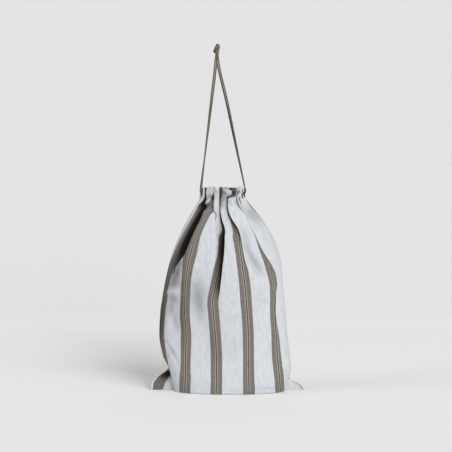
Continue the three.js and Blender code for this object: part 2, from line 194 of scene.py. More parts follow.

# A pleat's rows hold z, place, hide, show, gap and dark, the strength of its painted shade, then left and
# right unless they are 0
TUCKS = {
    Side.FRONT: [
        Tuck(2, 0, (
            (228, 35, 0, 3, 3, 0.1), (240, 36, 3, 3, 3, 0.15, 1, 1), (253, 38, 6.5, 3, 3, 0.3, 2, 1),
            (270, 43.5, 13, 3, 2.4, 0.5, 4, 1), (285, 49.5, 19, 3, 1.6, 0.65, 6, 0.5),
            (300, 53.3, 22.7, 2.6, 0.8, 0.9, 7, 0.5), (319, 53, 23, 2.4, 0.5, 1.15, 8, 0.5),
            (345, 52.8, 23.3, 2.4, 0.5, 1.05, 10, 0.5), (362, 52.8, 23.3, 2.4, 0.5, 1, 11, 0.5),
            (383, 53, 24, 2.2, 0.5, 1, 9, 0.5), (396, 52, 26, 2, 0.6, 0.9, 7, 0.5),
            (403, 50.5, 31.5, 2.2, 0.6, 0.9, 5, 1), (409, 42, 31, 2, 0.7, 1.4, 3),
            (416, 37, 30, 2, 0.8, 1.5, 1), (425, 33, 27.5, 2, 0.8, 1.5), (436, 32.3, 26.8, 2.4, 0.9, 1.6),
            (446, 32, 26.5, 3.2, 1.2, 1.8),
        )),
        Tuck(1, 0, (
            (366, 121, 0, 0.5, 0.4, 0.2), (374, 121, 3, 0.5, 0.4, 0.3), (382, 119, 7.5, 0.6, 0.4, 0.35),
            (392, 110, 13, 0.6, 0.4, 0.4, 0.5), (403, 101.5, 15.5, 0.8, 0.5, 0.6, 1),
            (412, 97, 16.5, 1.2, 0.5, 0.5, 1.5), (424, 92.5, 17.5, 2.8, 0.5, 1.2, 2),
            (431, 91.5, 17.5, 0.8, 0.4, 0.5, 1), (438, 91, 17, 0.4, 0.3, 0.2),
            (446, 91, 17, 0.4, 0.3, 0.15),
        )),
        Tuck(3, 0, (
            (186, 169, 0, 0.6, 0.3, 0.4), (205, 169, 1, 0.5, 0.3, 0.6, 3.5),
            (235, 169, 2.5, 0.5, 0.3, 0.8, 7), (253, 170, 5.5, 0.5, 0.3, 0.76, 7.5),
            (278, 171, 10, 0.5, 0.3, 0.72, 8), (306, 173, 15.5, 0.5, 0.3, 0.8, 9),
            (334, 177, 21, 0.8, 0.3, 0.75, 8), (350, 171, 24, 3.4, 0.3, 0.9, 4),
            (364, 166, 25, 5.4, 0.3, 1, 2), (383, 160, 25, 2.2, 0.4, 1, 1),
            (398, 153, 23.5, 0.6, 1, 0.9, 0.5, 1), (412, 145, 22, 0.4, 1, 0.9, 0, 3),
            (425, 142, 22, 0.4, 1, 0.8, 0, 4), (446, 142, 22, 0.4, 1, 0.8, 0, 4),
        )),
        Tuck(3, 0, (
            (262, 234, 0, 0.4, 0.3, 0.2), (278, 234, 2, 0.4, 0.3, 0.3, 1),
            (306, 234, 3.7, 0.4, 0.3, 0.4, 2), (340, 234.5, 7, 0.6, 0.3, 0.6, 3),
            (354, 234, 10, 2.2, 0.3, 0.9, 3), (366, 232, 14, 4, 0.3, 1, 2),
            (378, 227, 18, 4.2, 0.3, 1.2, 1), (392, 221, 21, 2.6, 0.3, 1.3, 0.5),
            (406, 215, 23, 1.8, 0.4, 1.3, 0.5), (413, 213, 24, 1.8, 0.4, 1.3, 0.5),
            (419, 211, 26, 1.4, 0.4, 1.2, 0.5), (425, 206, 26, 2, 0.4, 1.3),
            (429, 204.5, 24.5, 1, 0.4, 0.8), (435, 204, 22, 0.5, 0.3, 0.6, 0, 1),
            (446, 204.5, 22, 0.4, 0.3, 0.6, 0, 2),
        )),
        Tuck(1, 0, (
            (384, 279, 0, 0.4, 0.3, 0.5), (392, 276, 2.5, 0.5, 0.3, 1),
            (403, 268, 6.5, 0.7, 0.3, 1.2, 0.5), (412, 263, 10, 0.7, 0.3, 1, 0.5),
            (425, 257, 14, 0.4, 0.3, 0.3), (434, 255, 14, 0.3, 0.3, 0.1), (446, 254, 14, 0.3, 0.3, 0.1),
        )),
        Tuck(1, 1, (
            (258, 296, 0, 0.3, 0.3, 0.1), (272, 296, 2.5, 0.3, 0.3, 0.2, 1),
            (294, 296, 6.8, 0.3, 0.3, 0.25, 1.5), (313, 295, 9.3, 0.3, 0.3, 0.3, 1.5),
            (334, 294, 11.3, 0.3, 0.3, 0.3, 1), (353, 294, 12.8, 0.2, 0.2, 0.12, 0.5),
            (377, 294, 14, 0.2, 0.2, 0), (392, 294, 15, 0.2, 0.2, 0), (403, 294, 17, 0.2, 0.2, 0.05),
            (425, 295, 22, 0.4, 0.3, 0.3), (446, 296, 24, 0.4, 0.3, 0.3),
        )),
        Tuck(0, 1, (
            (24, 304, 0, 0.3, 0.3, 0), (45, 303.5, 1.3, 0.3, 0.3, 0), (90, 303, 2.6, 0.3, 0.3, 0),
            (125, 302.5, 4, 0.3, 0.3, 0.02, 0.5), (155, 302, 6.4, 0.3, 0.3, 0.04, 0.8),
            (180, 301.5, 7, 0.3, 0.3, 0.05, 1), (208, 301.5, 5.5, 0.3, 0.3, 0.05, 1),
            (236, 302, 0, 0.3, 0.3, 0),
        )),
    ],
    Side.BACK: [
        Tuck(2, 0, (
            (300, 40, 0, 1, 0.5, 0.5), (340, 41, 7, 1, 0.5, 0.6, 1), (375, 44, 13, 1, 0.5, 0.8, 2),
            (403, 46, 18, 1, 0.5, 0.8, 2), (425, 43, 21, 0.8, 0.5, 0.8, 1), (446, 42, 20, 0.8, 0.5, 0.8),
        )),
        Tuck(4, 0, (
            (255, 84, 0, 1, 0.5, 0.5), (300, 86, 6, 1, 0.5, 0.8, 2), (340, 90, 12, 1.5, 0.5, 1, 4),
            (375, 95, 17, 2, 0.5, 1, 4), (403, 99, 20, 1.5, 0.5, 1, 3), (425, 97, 21, 1.5, 0.5, 1, 1),
            (446, 96, 20, 1.5, 0.5, 1),
        )),
        Tuck(2, 0, (
            (345, 138, 0, 0.5, 0.4, 0.4), (375, 142, 7, 0.6, 0.4, 0.5, 1),
            (403, 146, 14, 0.8, 0.4, 0.7, 2), (425, 147, 19, 0.8, 0.4, 0.7, 1),
            (446, 146, 18, 0.5, 0.4, 0.4),
        )),
        Tuck(3, 0, (
            (220, 200, 0, 1, 0.5, 0.4), (255, 200, 4, 1, 0.5, 0.6, 2), (300, 200, 10, 1.2, 0.5, 0.8, 4),
            (340, 200, 15, 2.5, 0.5, 1, 5), (375, 200, 19, 2.5, 0.5, 1, 4), (403, 199, 22, 2, 0.5, 1, 3),
            (425, 198, 23, 1.5, 0.8, 0.8, 1), (446, 197, 22, 1, 2.5, 0.5),
        )),
        Tuck(4, 0, (
            (290, 264, 0, 0.6, 0.4, 0.4), (340, 261, 7, 0.8, 0.4, 0.6, 2),
            (375, 257, 14, 1.2, 0.4, 0.8, 3), (403, 253, 19, 1.2, 0.4, 0.8, 2),
            (425, 250, 21, 0.8, 0.4, 0.6, 1), (446, 249, 20, 0.5, 0.4, 0.4),
        )),
        Tuck(2, 0, (
            (240, 314, 0, 1, 0.5, 0.4), (290, 314, 5, 1, 0.5, 0.6, 2), (340, 312, 10, 1.2, 0.5, 0.8, 3),
            (375, 309, 14.5, 1.5, 0.5, 0.9, 3), (403, 306, 18, 1.5, 0.5, 1, 2),
            (425, 304, 21, 1.5, 0.6, 1, 1), (446, 303, 20, 1.5, 0.6, 1),
        )),
    ],
}

# Dents sink the cloth and paint shade into it; those of depth 0 are only painted shade, such as the dark
# root of the left corner, the dark mouth and the shadow lines by the right seam
DENTS = {
    Side.FRONT: [Dent(*row) for row in (
        (106, 218, 14, 32, 4, 0.17),
        (119, 204, 15, 36, 4, 0.2),
        (128, 184, 14, 38, 3, 0.14),
        (256, 196, 20, 26, 5, 0.04),
        (41, 256, 11, 22, 5, 0.3),
        (60, 259, 13, 18, 0, 0.62),
        (42, 206, 14, 9, 2, 0.2),
        (55, 202, 18, 11, 2, 0.2),
        (46, 184, 20, 22, 1, 0.29),
        (48, 235, 28, 12, 0, 0.42),
        (68, 282, 9, 14, 0, 0.5),
        (62, 150, 8, 20, 0, 0.18),
        (44, 88, 14, 12, 0, 0.14),
        (335, 325, 18, 45, 0, 0.07),
        (258, 338, 13, 20, 4, 0.17),
        (250, 312, 9, 18, 3, 0.2),
        (257, 290, 10, 16, 3, 0.27),
        (265, 272, 11, 16, 3, 0.24),
        (130, 200, 100, 150, 0, 0.1),
        (300, 175, 16, 50, 3, 0),
        (86, 60, 30, 12, 1.2, 0),
        (190, 103, 22, 24, 2, 0.08),
        (325, 384, 15, 18, 0, 0.34),
        (14, 155, 14, 72, 1, 0.8),
        (20, 270, 14, 40, 0, 0.4),
        (80, 170, 10, 75, 0, 0.32),
        (150, 112, 12, 44, 0, 0.14),
        (22, 36, 12, 10, 0, 1.5),
        (18, 14, 13, 14, 0, 0.25),
        (232, 440, 9, 10, 0, 0.55),
        (238, 427, 6, 4, 0, 0.9),
        (227, 348, 6, 15, 0, 0.45),
        (346, 396, 6, 14, 0, 0.85),
        (349.5, 58, 2.4, 26, 0, 0.6),
        (350, 9, 2.6, 10, 0, 0.85),
    )],
    Side.BACK: [Dent(*row) for row in (
        (120, 170, 24, 46, 4.5, 0),
        (232, 214, 22, 36, 4, 0),
        (290, 110, 30, 16, 2.5, 0),
        (66, 92, 28, 18, 3, 0),
    )],
}

CREASES = {
    Side.FRONT: [Crease(*row) for row in (
        (22, 216, 74, 223, 3.6, -3.4),
        (30, 116, 68, 60, 5, 3.4),
        (40, 196, 70, 120, 9, 1.8),
        (110, 236, 122, 150, 8, 1.8),
        (168, 206, 164, 120, 7, 1.4),
        (236, 205, 284, 188, 6, 1.6),
        (276, 150, 286, 60, 8, 1.5),
        (66, 58, 96, 44, 6, 0.5),
        (300, 64, 336, 40, 6, 1.8),
        (244, 12, 300, 9, 3, 1.1),
        (120, 26, 150, 20, 4, 0.9),
        (62, 446, 74, 430, 2.6, 1.7),
        (74, 446, 64, 416, 2.2, 1.3),
        (108, 440, 120, 424, 2, 1.3),
        (118, 436, 110, 412, 2, 1.1),
        (128, 400, 122, 372, 3, 1.4),
        (164, 438, 180, 426, 2.4, 2.6),
        (182, 424, 168, 410, 2.2, 2.4),
        (166, 412, 184, 396, 2.4, 2.2),
        (222, 446, 238, 430, 2.4, 2.2),
        (232, 420, 250, 402, 3, 1.8),
        (337, 384, 341, 424, 2.6, 2.8),
        (320, 446, 328, 418, 2.6, 2.4),
        (334, 442, 340, 416, 2.4, 2.2),
        (344, 436, 326, 424, 2, 1.8),
    )],
    Side.BACK: [Crease(*row) for row in (
        (30, 150, 80, 84, 8, 2.2),
        (110, 240, 128, 150, 8, 2),
        (180, 120, 236, 96, 6, 1.6),
        (220, 250, 236, 170, 8, 2),
        (280, 60, 336, 110, 7, 2),
        (60, 46, 118, 34, 4, 1.4),
        (206, 34, 262, 42, 4, 1.2),
    )],
}

BASE_ROWS = [BaseRow(*row) for row in (
    (0, 0, 0),
    (0.5, 0, 3),
    (0.93, 0, 6),
    (1, 2.4, 9),
    (1, 7, 12),
    (1, 15, 15),
)]


def mix(a: np.ndarray, b: np.ndarray, t: np.ndarray) -> np.ndarray:
    """Returns what lies the share t of the way from a to b."""
    return a + (b - a) * t


def smoothstep(start: float, end: float, value: np.ndarray) -> np.ndarray:
    """Returns a soft step from 0 at start to 1 at end."""
    t = np.clip((np.asarray(value, float) - start) / (end - start), 0, 1)
    return t * t * (3 - 2 * t)


def smooth_curve(places: np.ndarray, values: np.ndarray) -> Curve:
    """Makes a smooth curve through rising places that never overshoots.

    Args:
        places: Rising places of the known values.
        values: The value at each place.

    Returns:
        A function from places to values.
    """
    places = np.asarray(places, float)
    values = np.asarray(values, float)
    spans = np.diff(places)
    slopes = np.diff(values) / spans
    before, after = slopes[:-1], slopes[1:]
    both = before + after
    agree = before * after > 0
    inner = np.where(agree, 2 * before * after / np.where(agree, both, 1), 0)
    tangents = np.concatenate([slopes[:1], inner, slopes[-1:]])

    def curve(place: np.ndarray) -> np.ndarray:
        """Returns the curve's values at these places."""
        place = np.asarray(place, float)
        i = np.searchsorted(places[1:-1], place)
        t = np.clip((place - places[i]) / spans[i], 0, 1)
        bend = (1 - t) * tangents[i] - t * tangents[i + 1]
        return mix(values[i], values[i + 1], t * t * (3 - 2 * t)) + spans[i] * t * (1 - t) * bend

    return curve


def lengths_along(line: np.ndarray) -> np.ndarray:
    """Returns how far along a line of points each point is."""
    return np.concatenate([[0], np.cumsum(np.linalg.norm(np.diff(line, axis=0), axis=1))])


def grid_mesh(name: str, points: np.ndarray, uv: np.ndarray, uv_name: str) -> Mesh:
    """Makes a mesh from a created grid whose points are moved into place.

    Args:
        name: The mesh's name.
        points: Rows by columns by 3, in metres.
        uv: Rows by columns by 2.
        uv_name: The name of the UV map.

    Returns:
        The new mesh, smooth shaded.
    """
    rows, columns = points.shape[:2]
    bm = bmesh.new()
    bmesh.ops.create_grid(bm, x_segments=columns - 1, y_segments=rows - 1, size=1.0)
    mesh = bpy.data.meshes.new(name)
    bm.to_mesh(mesh)
    bm.free()
    mesh.vertices.foreach_set("co", points.reshape(-1).astype(np.float32))
    corner = np.empty(len(mesh.loops), np.int32)
    mesh.loops.foreach_get("vertex_index", corner)
    layer = mesh.uv_layers.new(name=uv_name)
    layer.data.foreach_set("uv", uv.reshape(-1, 2)[corner].reshape(-1).astype(np.float32))
    mesh.shade_smooth()
    mesh.update()
    return mesh


def point_values(mesh: Mesh, name: str, values: np.ndarray) -> None:
    """Stores one value for each point of a mesh as an attribute."""
    layer = mesh.attributes.new(name, "FLOAT", "POINT")
    layer.data.foreach_set("value", values.reshape(-1).astype(np.float32))


def place_piece(name: str, mesh: Mesh, material: Material) -> Object:
    """Puts a mesh into the scene at the origin with its material, and returns its object."""
    piece = bpy.data.objects.new(name, mesh)
    bpy.context.collection.objects.link(piece)
    mesh.materials.append(material)
    return piece


class NodeBench:
    """Adds and links nodes in one node tree."""

    def __init__(self, tree: NodeTree) -> None:
        """Starts on a tree and empties it."""
        self.tree = tree
        tree.nodes.clear()

    def add(self, kind: str, inputs: dict[str, object] | None = None, **settings: object) -> Node:
        """Adds a node to the tree.

        Args:
            kind: The node's type.
            inputs: What its input sockets are fed, by their names.
            settings: The node's own settings.

        Returns:
            The node.
        """
        node = self.tree.nodes.new(kind)
        for key, value in settings.items():
            setattr(node, key, value)
        for name, value in (inputs or {}).items():
            self.feed(node.inputs[name], value)
        return node

    def feed(self, socket: NodeSocket, value: object) -> None:
        """Links an output to an input socket, or sets the socket's own value."""
        if isinstance(value, NodeSocket):
            self.tree.links.new(value, socket)
        else:
            socket.default_value = value

    def math(self, operation: str, *values: object) -> NodeSocket:
        """Adds a Math node and returns its result."""
        node = self.add("ShaderNodeMath", operation=operation)
        for socket, value in zip(node.inputs, values):
            self.feed(socket, value)
        return node.outputs[0]

    def step(self, value: object, start: float, end: float) -> NodeSocket:
        """Adds a soft step from 0 at start to 1 at end, and returns its result."""
        inputs = {"Value": value, "From Min": start, "From Max": end}
        return self.add("ShaderNodeMapRange", inputs, interpolation_type="SMOOTHSTEP").outputs["Result"]

    def blend(self, share: object, first: object, second: object, kind: str = "MIX") -> NodeSocket:
        """Mixes two colours by a share and returns the result."""
        inputs = {"Factor": share, "A": first, "B": second}
        return self.add("ShaderNodeMix", inputs, data_type="RGBA", blend_type=kind).outputs["Result"]

    def noise(self, vector: object, scale: float, detail: float) -> NodeSocket:
        """Adds a noise texture and returns its value."""
        inputs = {"Vector": vector, "Scale": scale, "Detail": detail}
        return self.add("ShaderNodeTexNoise", inputs).outputs["Fac"]

    def scaled(self, vector: object, scale: tuple[float, ...]) -> NodeSocket:
        """Scales a vector and returns the result."""
        return self.add("ShaderNodeMapping", {"Vector": vector, "Scale": scale}).outputs["Vector"]

    def split(self, vector: object) -> tuple[NodeSocket, ...]:
        """Splits a vector and returns its x, y and z."""
        return tuple(self.add("ShaderNodeSeparateXYZ", {"Vector": vector}).outputs)


def start_material(name: str) -> tuple[Material, NodeBench]:
    """Makes a new material, and returns it with a bench on its nodes."""
    material = bpy.data.materials.new(name)
    material.use_nodes = True
    return material, NodeBench(material.node_tree)


class YarnFleck:
    """The flecks and slubs of spun cotton yarn, shared by the cloth and the cord."""

    NAME = "yarn_fleck"
    FLECK_DETAIL = 3.0
    FLECK_STEP = (0.36, 0.66)
    SLUB_SCALE = 0.16
    SLUB_DETAIL = 1.0

    @classmethod
    def group(cls) -> NodeTree:
        """Returns the node group, and builds it at its first use.

        Returns:
            A group that turns a yarn's vector into a fleck value and a slub value, both 0 to 1.
        """
        known = bpy.data.node_groups.get(cls.NAME)
        if known:
            return known
        tree = bpy.data.node_groups.new(cls.NAME, "ShaderNodeTree")
        bench = NodeBench(tree)
        tree.interface.new_socket("Vector", in_out="INPUT", socket_type="NodeSocketVector")
        tree.interface.new_socket("Fleck", in_out="OUTPUT", socket_type="NodeSocketFloat")
        tree.interface.new_socket("Slub", in_out="OUTPUT", socket_type="NodeSocketFloat")
        start = bench.add("NodeGroupInput")
        end = bench.add("NodeGroupOutput")
        fine = bench.noise(start.outputs["Vector"], 1.0, cls.FLECK_DETAIL)
        bench.feed(end.inputs["Fleck"], bench.step(fine, *cls.FLECK_STEP))
        bench.feed(end.inputs["Slub"], bench.noise(start.outputs["Vector"], cls.SLUB_SCALE, cls.SLUB_DETAIL))
        return tree

    @classmethod
    def place(cls, bench: NodeBench, vector: NodeSocket) -> Node:
        """Places the group in a material on a vector, and returns its node."""
        return bench.add("ShaderNodeGroup", {"Vector": vector}, node_tree=cls.group())


@dataclass(frozen=True)
class CottonFinish:
    """A matt cotton surface, on which each kind of cotton paints its own colour and relief.

    relief is how strongly the relief shows, and relief_height its height in metres.
    """

    name: str
    uv_map: str
    roughness: float
    gloss: float
    sheen: float
    relief: float
    relief_height: float

    def build(self) -> Material:
        """Builds the material and returns it."""
        material, bench = start_material(self.name)
        colour, height = self.paint(bench)
        bump = bench.add("ShaderNodeBump", {
            "Strength": self.relief,
            "Distance": self.relief_height,
            "Height": height,
        })
        shader = bench.add("ShaderNodeBsdfPrincipled", {
            "Base Color": colour,
            "Roughness": self.roughness,
            "Sheen Weight": self.sheen,
            "Specular IOR Level": self.gloss,
            "Normal": bump.outputs["Normal"],
        })
        bench.add("ShaderNodeOutputMaterial", {"Surface": shader.outputs["BSDF"]})
        return material

    def paint(self, bench: NodeBench) -> tuple[NodeSocket, NodeSocket]:
        """Returns the colour and the height of the relief, which each kind of cotton makes."""
        raise NotImplementedError


@dataclass(frozen=True)
class StripedCotton(CottonFinish):
    """White cotton with woven taupe stripes, read from the cloth's own UV map in metres."""

    name: str = "striped_cotton"
    uv_map: str = "cloth"
    roughness: float = 0.93
    gloss: float = 0.05
    sheen: float = 0.06
    relief: float = 0.6
    relief_height: float = 0.00014
    first_stripe: float = 0.018
    pitch: float = 0.069
    half_stripe: float = 0.0123
    half_dark_line: float = 0.0011
    half_light_line: float = 0.0029
    edge: float = 0.0005
    thread: float = 0.0011
    yarn_stretch: float = 0.35
    slub_step: tuple[float, float] = (0.34, 0.66)
    weave_middle: float = 0.5
    weave_share: float = 0.35
    fleck_share: float = 0.3
    # fold_shade holds the painted shade of the pleats, dents and creases, and shade is the colour it darkens
    # towards
    shade_attribute: str = "fold_shade"
    shade: tuple[float, ...] = (0.045, 0.03, 0.028, 1)
    # inside_shade paints shade on the inner faces high in the bag, from inside_foot to inside_full metres up
    inside_shade: float = 0.0
    inside_foot: float = 0.36
    inside_full: float = 0.42
    white: tuple[float, ...] = (0.407, 0.418, 0.437, 1)
    white_slub: tuple[float, ...] = (0.371, 0.387, 0.409, 1)
    taupe: tuple[float, ...] = (0.0785, 0.0708, 0.0615, 1)
    taupe_light: tuple[float, ...] = (0.168, 0.154, 0.1355, 1)
    dark_line: tuple[float, ...] = (0.032, 0.027, 0.024, 1)
    light_line: tuple[float, ...] = (0.236, 0.215, 0.185, 1)

    def paint(self, bench: NodeBench) -> tuple[NodeSocket, NodeSocket]:
        """Lays the stripes, the painted shade of the folds and of the bag's inside, and the weave.

        Args:
            bench: The material's bench.

        Returns:
            The colour and the height of the weave.
        """
        cloth = bench.add("ShaderNodeUVMap", uv_map=self.uv_map)
        across, along, _ = bench.split(cloth.outputs["UV"])
        per_thread = 1 / self.thread
        yarn_vector = bench.scaled(cloth.outputs["UV"], (per_thread, self.yarn_stretch * per_thread, 1))
        yarn = YarnFleck.place(bench, yarn_vector)
        # painted shade: the folds' shade from the cloth's attribute, and on the inner faces the shade high
        # in the bag
        hidden = bench.add("ShaderNodeAttribute", attribute_name=self.shade_attribute)
        place = bench.add("ShaderNodeTexCoord")
        _, _, z = bench.split(place.outputs["Object"])
        high = bench.step(z, self.inside_foot, self.inside_full)
        inside = bench.math("MULTIPLY", high, self.inside_shade)
        dark = bench.math("MAXIMUM", hidden.outputs["Fac"], inside)
        shaded = bench.blend(dark, self._colour(bench, across, yarn), self.shade, "MULTIPLY")
        return shaded, self._weave(bench, across, along, yarn)

    def _colour(self, bench: NodeBench, across: NodeSocket,
                yarn: Node) -> NodeSocket:
        """Lays the stripes over the white.

        Args:
            bench: The material's bench.
            across: Metres across the cloth.
            yarn: The placed fleck group.

        Returns:
            The colour.
        """
        ragged = bench.math("MULTIPLY_ADD", yarn.outputs["Fleck"], self.edge, across)
        from_first = bench.math("SUBTRACT", ragged, self.first_stripe)
        off = bench.math("PINGPONG", from_first, self.pitch / 2)
        in_stripe, in_light, in_dark = (
            bench.step(off, half + self.edge / 2, half - self.edge / 2)
            for half in (self.half_stripe, self.half_light_line, self.half_dark_line)
        )
        slub = bench.step(yarn.outputs["Slub"], *self.slub_step)
        white = bench.blend(slub, self.white, self.white_slub)
        taupe = bench.blend(yarn.outputs["Fleck"], self.taupe, self.taupe_light)
        stripe = bench.blend(in_light, taupe, self.light_line)
        stripe = bench.blend(in_dark, stripe, self.dark_line)
        return bench.blend(in_stripe, white, stripe)

    def _weave(self, bench: NodeBench, across: NodeSocket, along: NodeSocket,
               yarn: Node) -> NodeSocket:
        """Raises a plain weave's threads.

        Args:
            bench: The material's bench.
            across: Metres across the cloth.
            along: Metres along the cloth.
            yarn: The placed fleck group.

        Returns:
            The height, about 0 to 1.
        """
        turn = math.pi / self.thread
        warp = bench.math("SINE", bench.math("MULTIPLY", across, turn))
        weft = bench.math("SINE", bench.math("MULTIPLY", along, turn))
        cross = bench.math("MULTIPLY", warp, weft)
        raised = bench.math("MULTIPLY_ADD", cross, self.weave_share, self.weave_middle)
        return bench.math("MULTIPLY_ADD", yarn.outputs["Fleck"], self.fleck_share, raised)


@dataclass(frozen=True)
class TwistedCotton(CottonFinish):
    """Taupe cotton cord of twisted plies. The UV map holds the ply's crest and the length. The grooves
    between the plies are painted darker, as shade.

    hollow is the middle of a patch of painted shade, such as the dark hollow between turns of the knot,
    and hollow_size its reach, or 0 for none.
    """

    name: str = "twisted_cotton"
    uv_map: str = "ply"
    roughness: float = 0.9
    gloss: float = 0.25
    sheen: float = 0.1
    relief: float = 0.5
    relief_height: float = 0.00015
    # groove is the painted shade in the grooves between plies
    groove: tuple[float, ...] = (0.036, 0.027, 0.02, 1)
    crest: tuple[float, ...] = (0.098, 0.074, 0.054, 1)
    fibre: tuple[float, ...] = (0.138, 0.109, 0.082, 1)
    hollow: tuple[float, ...] = (0.0, 0.0, 0.0)
    hollow_size: float = 0.0
    fleck_size: float = 0.0006
    fleck_share: float = 0.6

    def paint(self, bench: NodeBench) -> tuple[NodeSocket, NodeSocket]:
        """Colours the plies' crests and the painted shade of their grooves, their fibres and the patch of
        painted shade.

        Args:
            bench: The material's bench.

        Returns:
            The colour and the height of the fibres.
        """
        ply = bench.add("ShaderNodeUVMap", uv_map=self.uv_map)
        crest, _, _ = bench.split(ply.outputs["UV"])
        place = bench.add("ShaderNodeTexCoord")
        yarn_vector = bench.scaled(place.outputs["Object"], (1 / self.fleck_size,) * 3)
        yarn = YarnFleck.place(bench, yarn_vector)
        # the grooves are painted darker, as shade
        body = bench.blend(crest, self.groove, self.crest)
        fleck = bench.math("MULTIPLY", yarn.outputs["Fleck"], self.fleck_share)
        colour = bench.blend(fleck, body, self.fibre)
        # a patch of painted shade, darkest at its middle
        if self.hollow_size > 0:
            away = bench.add("ShaderNodeVectorMath", operation="DISTANCE")
            bench.feed(away.inputs[0], place.outputs["Object"])
            away.inputs[1].default_value = self.hollow
            near = bench.step(away.outputs["Value"], self.hollow_size, self.hollow_size / 2)
            colour = bench.blend(near, colour, self.groove)
        return colour, yarn.outputs["Fleck"]


# The knot's cord: near-black painted shade in its grooves and in the hollow between its turns
KNOTTED_COTTON = TwistedCotton(
    name="knotted_cotton",
    groove=(0.008, 0.006, 0.004, 1),
    crest=(0.135, 0.11, 0.078, 1),
    fibre=(0.21, 0.18, 0.135, 1),
    hollow=(-0.0246, -0.003, 0.7438),
    hollow_size=0.0048,
)
# The right leg's back strand: darker painted shade in its grooves, and painted shade over its middle stretch
SHADED_COTTON = TwistedCotton(
    name="shaded_cotton",
    groove=(0.022, 0.016, 0.013, 1),
    hollow=(0.005, 0.002, 0.625),
    hollow_size=0.1,
)
# A copy of the cloth's finish with painted shade, for the inner faces of the bag
SHADED_INSIDE_COTTON = StripedCotton(name="striped_cotton_inside_shaded", inside_shade=0.75)


@dataclass
class PhotoCamera:
    """A level camera in front of the bag, at the photograph's angle."""

    x: float = 0.0011
    distance: float = 2.2
    height: float = 0.36
    focal_pixels: float = 1000.0
    sensor: float = 36.0

    def build(self) -> None:
        """Makes the camera the scene's own."""
        data = bpy.data.cameras.new("photo_camera")
        data.sensor_fit = "HORIZONTAL"
        data.sensor_width = self.sensor
        data.lens = self.sensor * self.focal_pixels / IMAGE_SIDE
        camera = bpy.data.objects.new("photo_camera", data)
        camera.location = (self.x, -self.distance, self.height)
        camera.rotation_euler = (math.pi / 2, 0, 0)
        bpy.context.collection.objects.link(camera)
        bpy.context.scene.camera = camera


class PairPoint(NamedTuple):
    """A point of a pair of strands, in metres: its middle, and how far apart the strands are there."""

    x: float
    y: float
    z: float
    apart_x: float
    apart_y: float


LEFT_PAIR = [PairPoint(*row) for row in (
    (-0.0516, -0.0107, 0.4315, -0.0019, 0.0036),
    (-0.0526, -0.0114, 0.4326, -0.0020, 0.0038),
    (-0.0539, -0.0124, 0.4370, -0.0023, 0.0044),
    (-0.0530, -0.0122, 0.4480, -0.0022, 0.0045),
    (-0.0420, -0.0086, 0.5400, 0.0010, 0.0049),
    (-0.0302, -0.0048, 0.6400, 0.0034, 0.0028),
    (-0.0231, -0.0030, 0.7000, 0.0037, 0.0010),
    (-0.0214, -0.0025, 0.7180, 0.0038, 0.0006),
    (-0.0189, -0.0021, 0.7379, 0.0038, 0.0),
    (-0.0187, -0.0019, 0.7440, 0.0036, 0.0),
)]
RIGHT_PAIR = [PairPoint(*row) for row in (
    (0.0375, 0.0016, 0.4305, 0.0, 0.0048),
    (0.0416, 0.0004, 0.4315, 0.0, 0.0052),
    (0.0438, 0.0, 0.4365, 0.0, 0.0052),
    (0.0418, 0.0, 0.4480, 0.0, 0.0052),
    (0.0224, 0.0, 0.5400, -0.0024, 0.0046),
    (0.0016, 0.0008, 0.6400, -0.0037, 0.0024),
    (-0.0129, 0.0016, 0.7000, -0.0038, 0.0010),
    (-0.0163, 0.0021, 0.7180, -0.0038, 0.0006),
    (-0.0185, 0.0021, 0.7378, -0.0038, 0.0),
    (-0.0187, 0.0019, 0.7440, -0.0036, 0.0),
)]


def smooth_route(points: np.ndarray, spacing: float) -> np.ndarray:
    """Runs a centripetal Catmull-Rom curve through the points of a route.

    Args:
        points: The route's points, n by 3.
        spacing: The wanted distance between samples.

    Returns:
        Samples at even distances along the curve.
    """
    points = np.asarray(points, float)
    ends = np.concatenate([[2 * points[0] - points[1]], points, [2 * points[-1] - points[-2]]])
    pieces = []
    t = np.linspace(0, 1, ROUTE_STEPS, endpoint=False)[:, None]
    for p0, p1, p2, p3 in zip(ends, ends[1:], ends[2:], ends[3:]):
        d0, d1, d2 = (np.sqrt(np.linalg.norm(b - a)) for a, b in ((p0, p1), (p1, p2), (p2, p3)))
        m1 = ((p1 - p0) / d0 - (p2 - p0) / (d0 + d1) + (p2 - p1) / d1) * d1
        m2 = ((p2 - p1) / d1 - (p3 - p1) / (d1 + d2) + (p3 - p2) / d2) * d1
        pieces.append((2 * t**3 - 3 * t**2 + 1) * p1 + (t**3 - 2 * t**2 + t) * m1
                      + (3 * t**2 - 2 * t**3) * p2 + (t**3 - t**2) * m2)
    line = np.concatenate([*pieces, points[-1:]])
    along = lengths_along(line)
    even = np.linspace(0, along[-1], max(LEAST_ROUTE, round(along[-1] / spacing)))
    return np.stack([np.interp(even, along, line[:, axis]) for axis in range(3)], axis=1)


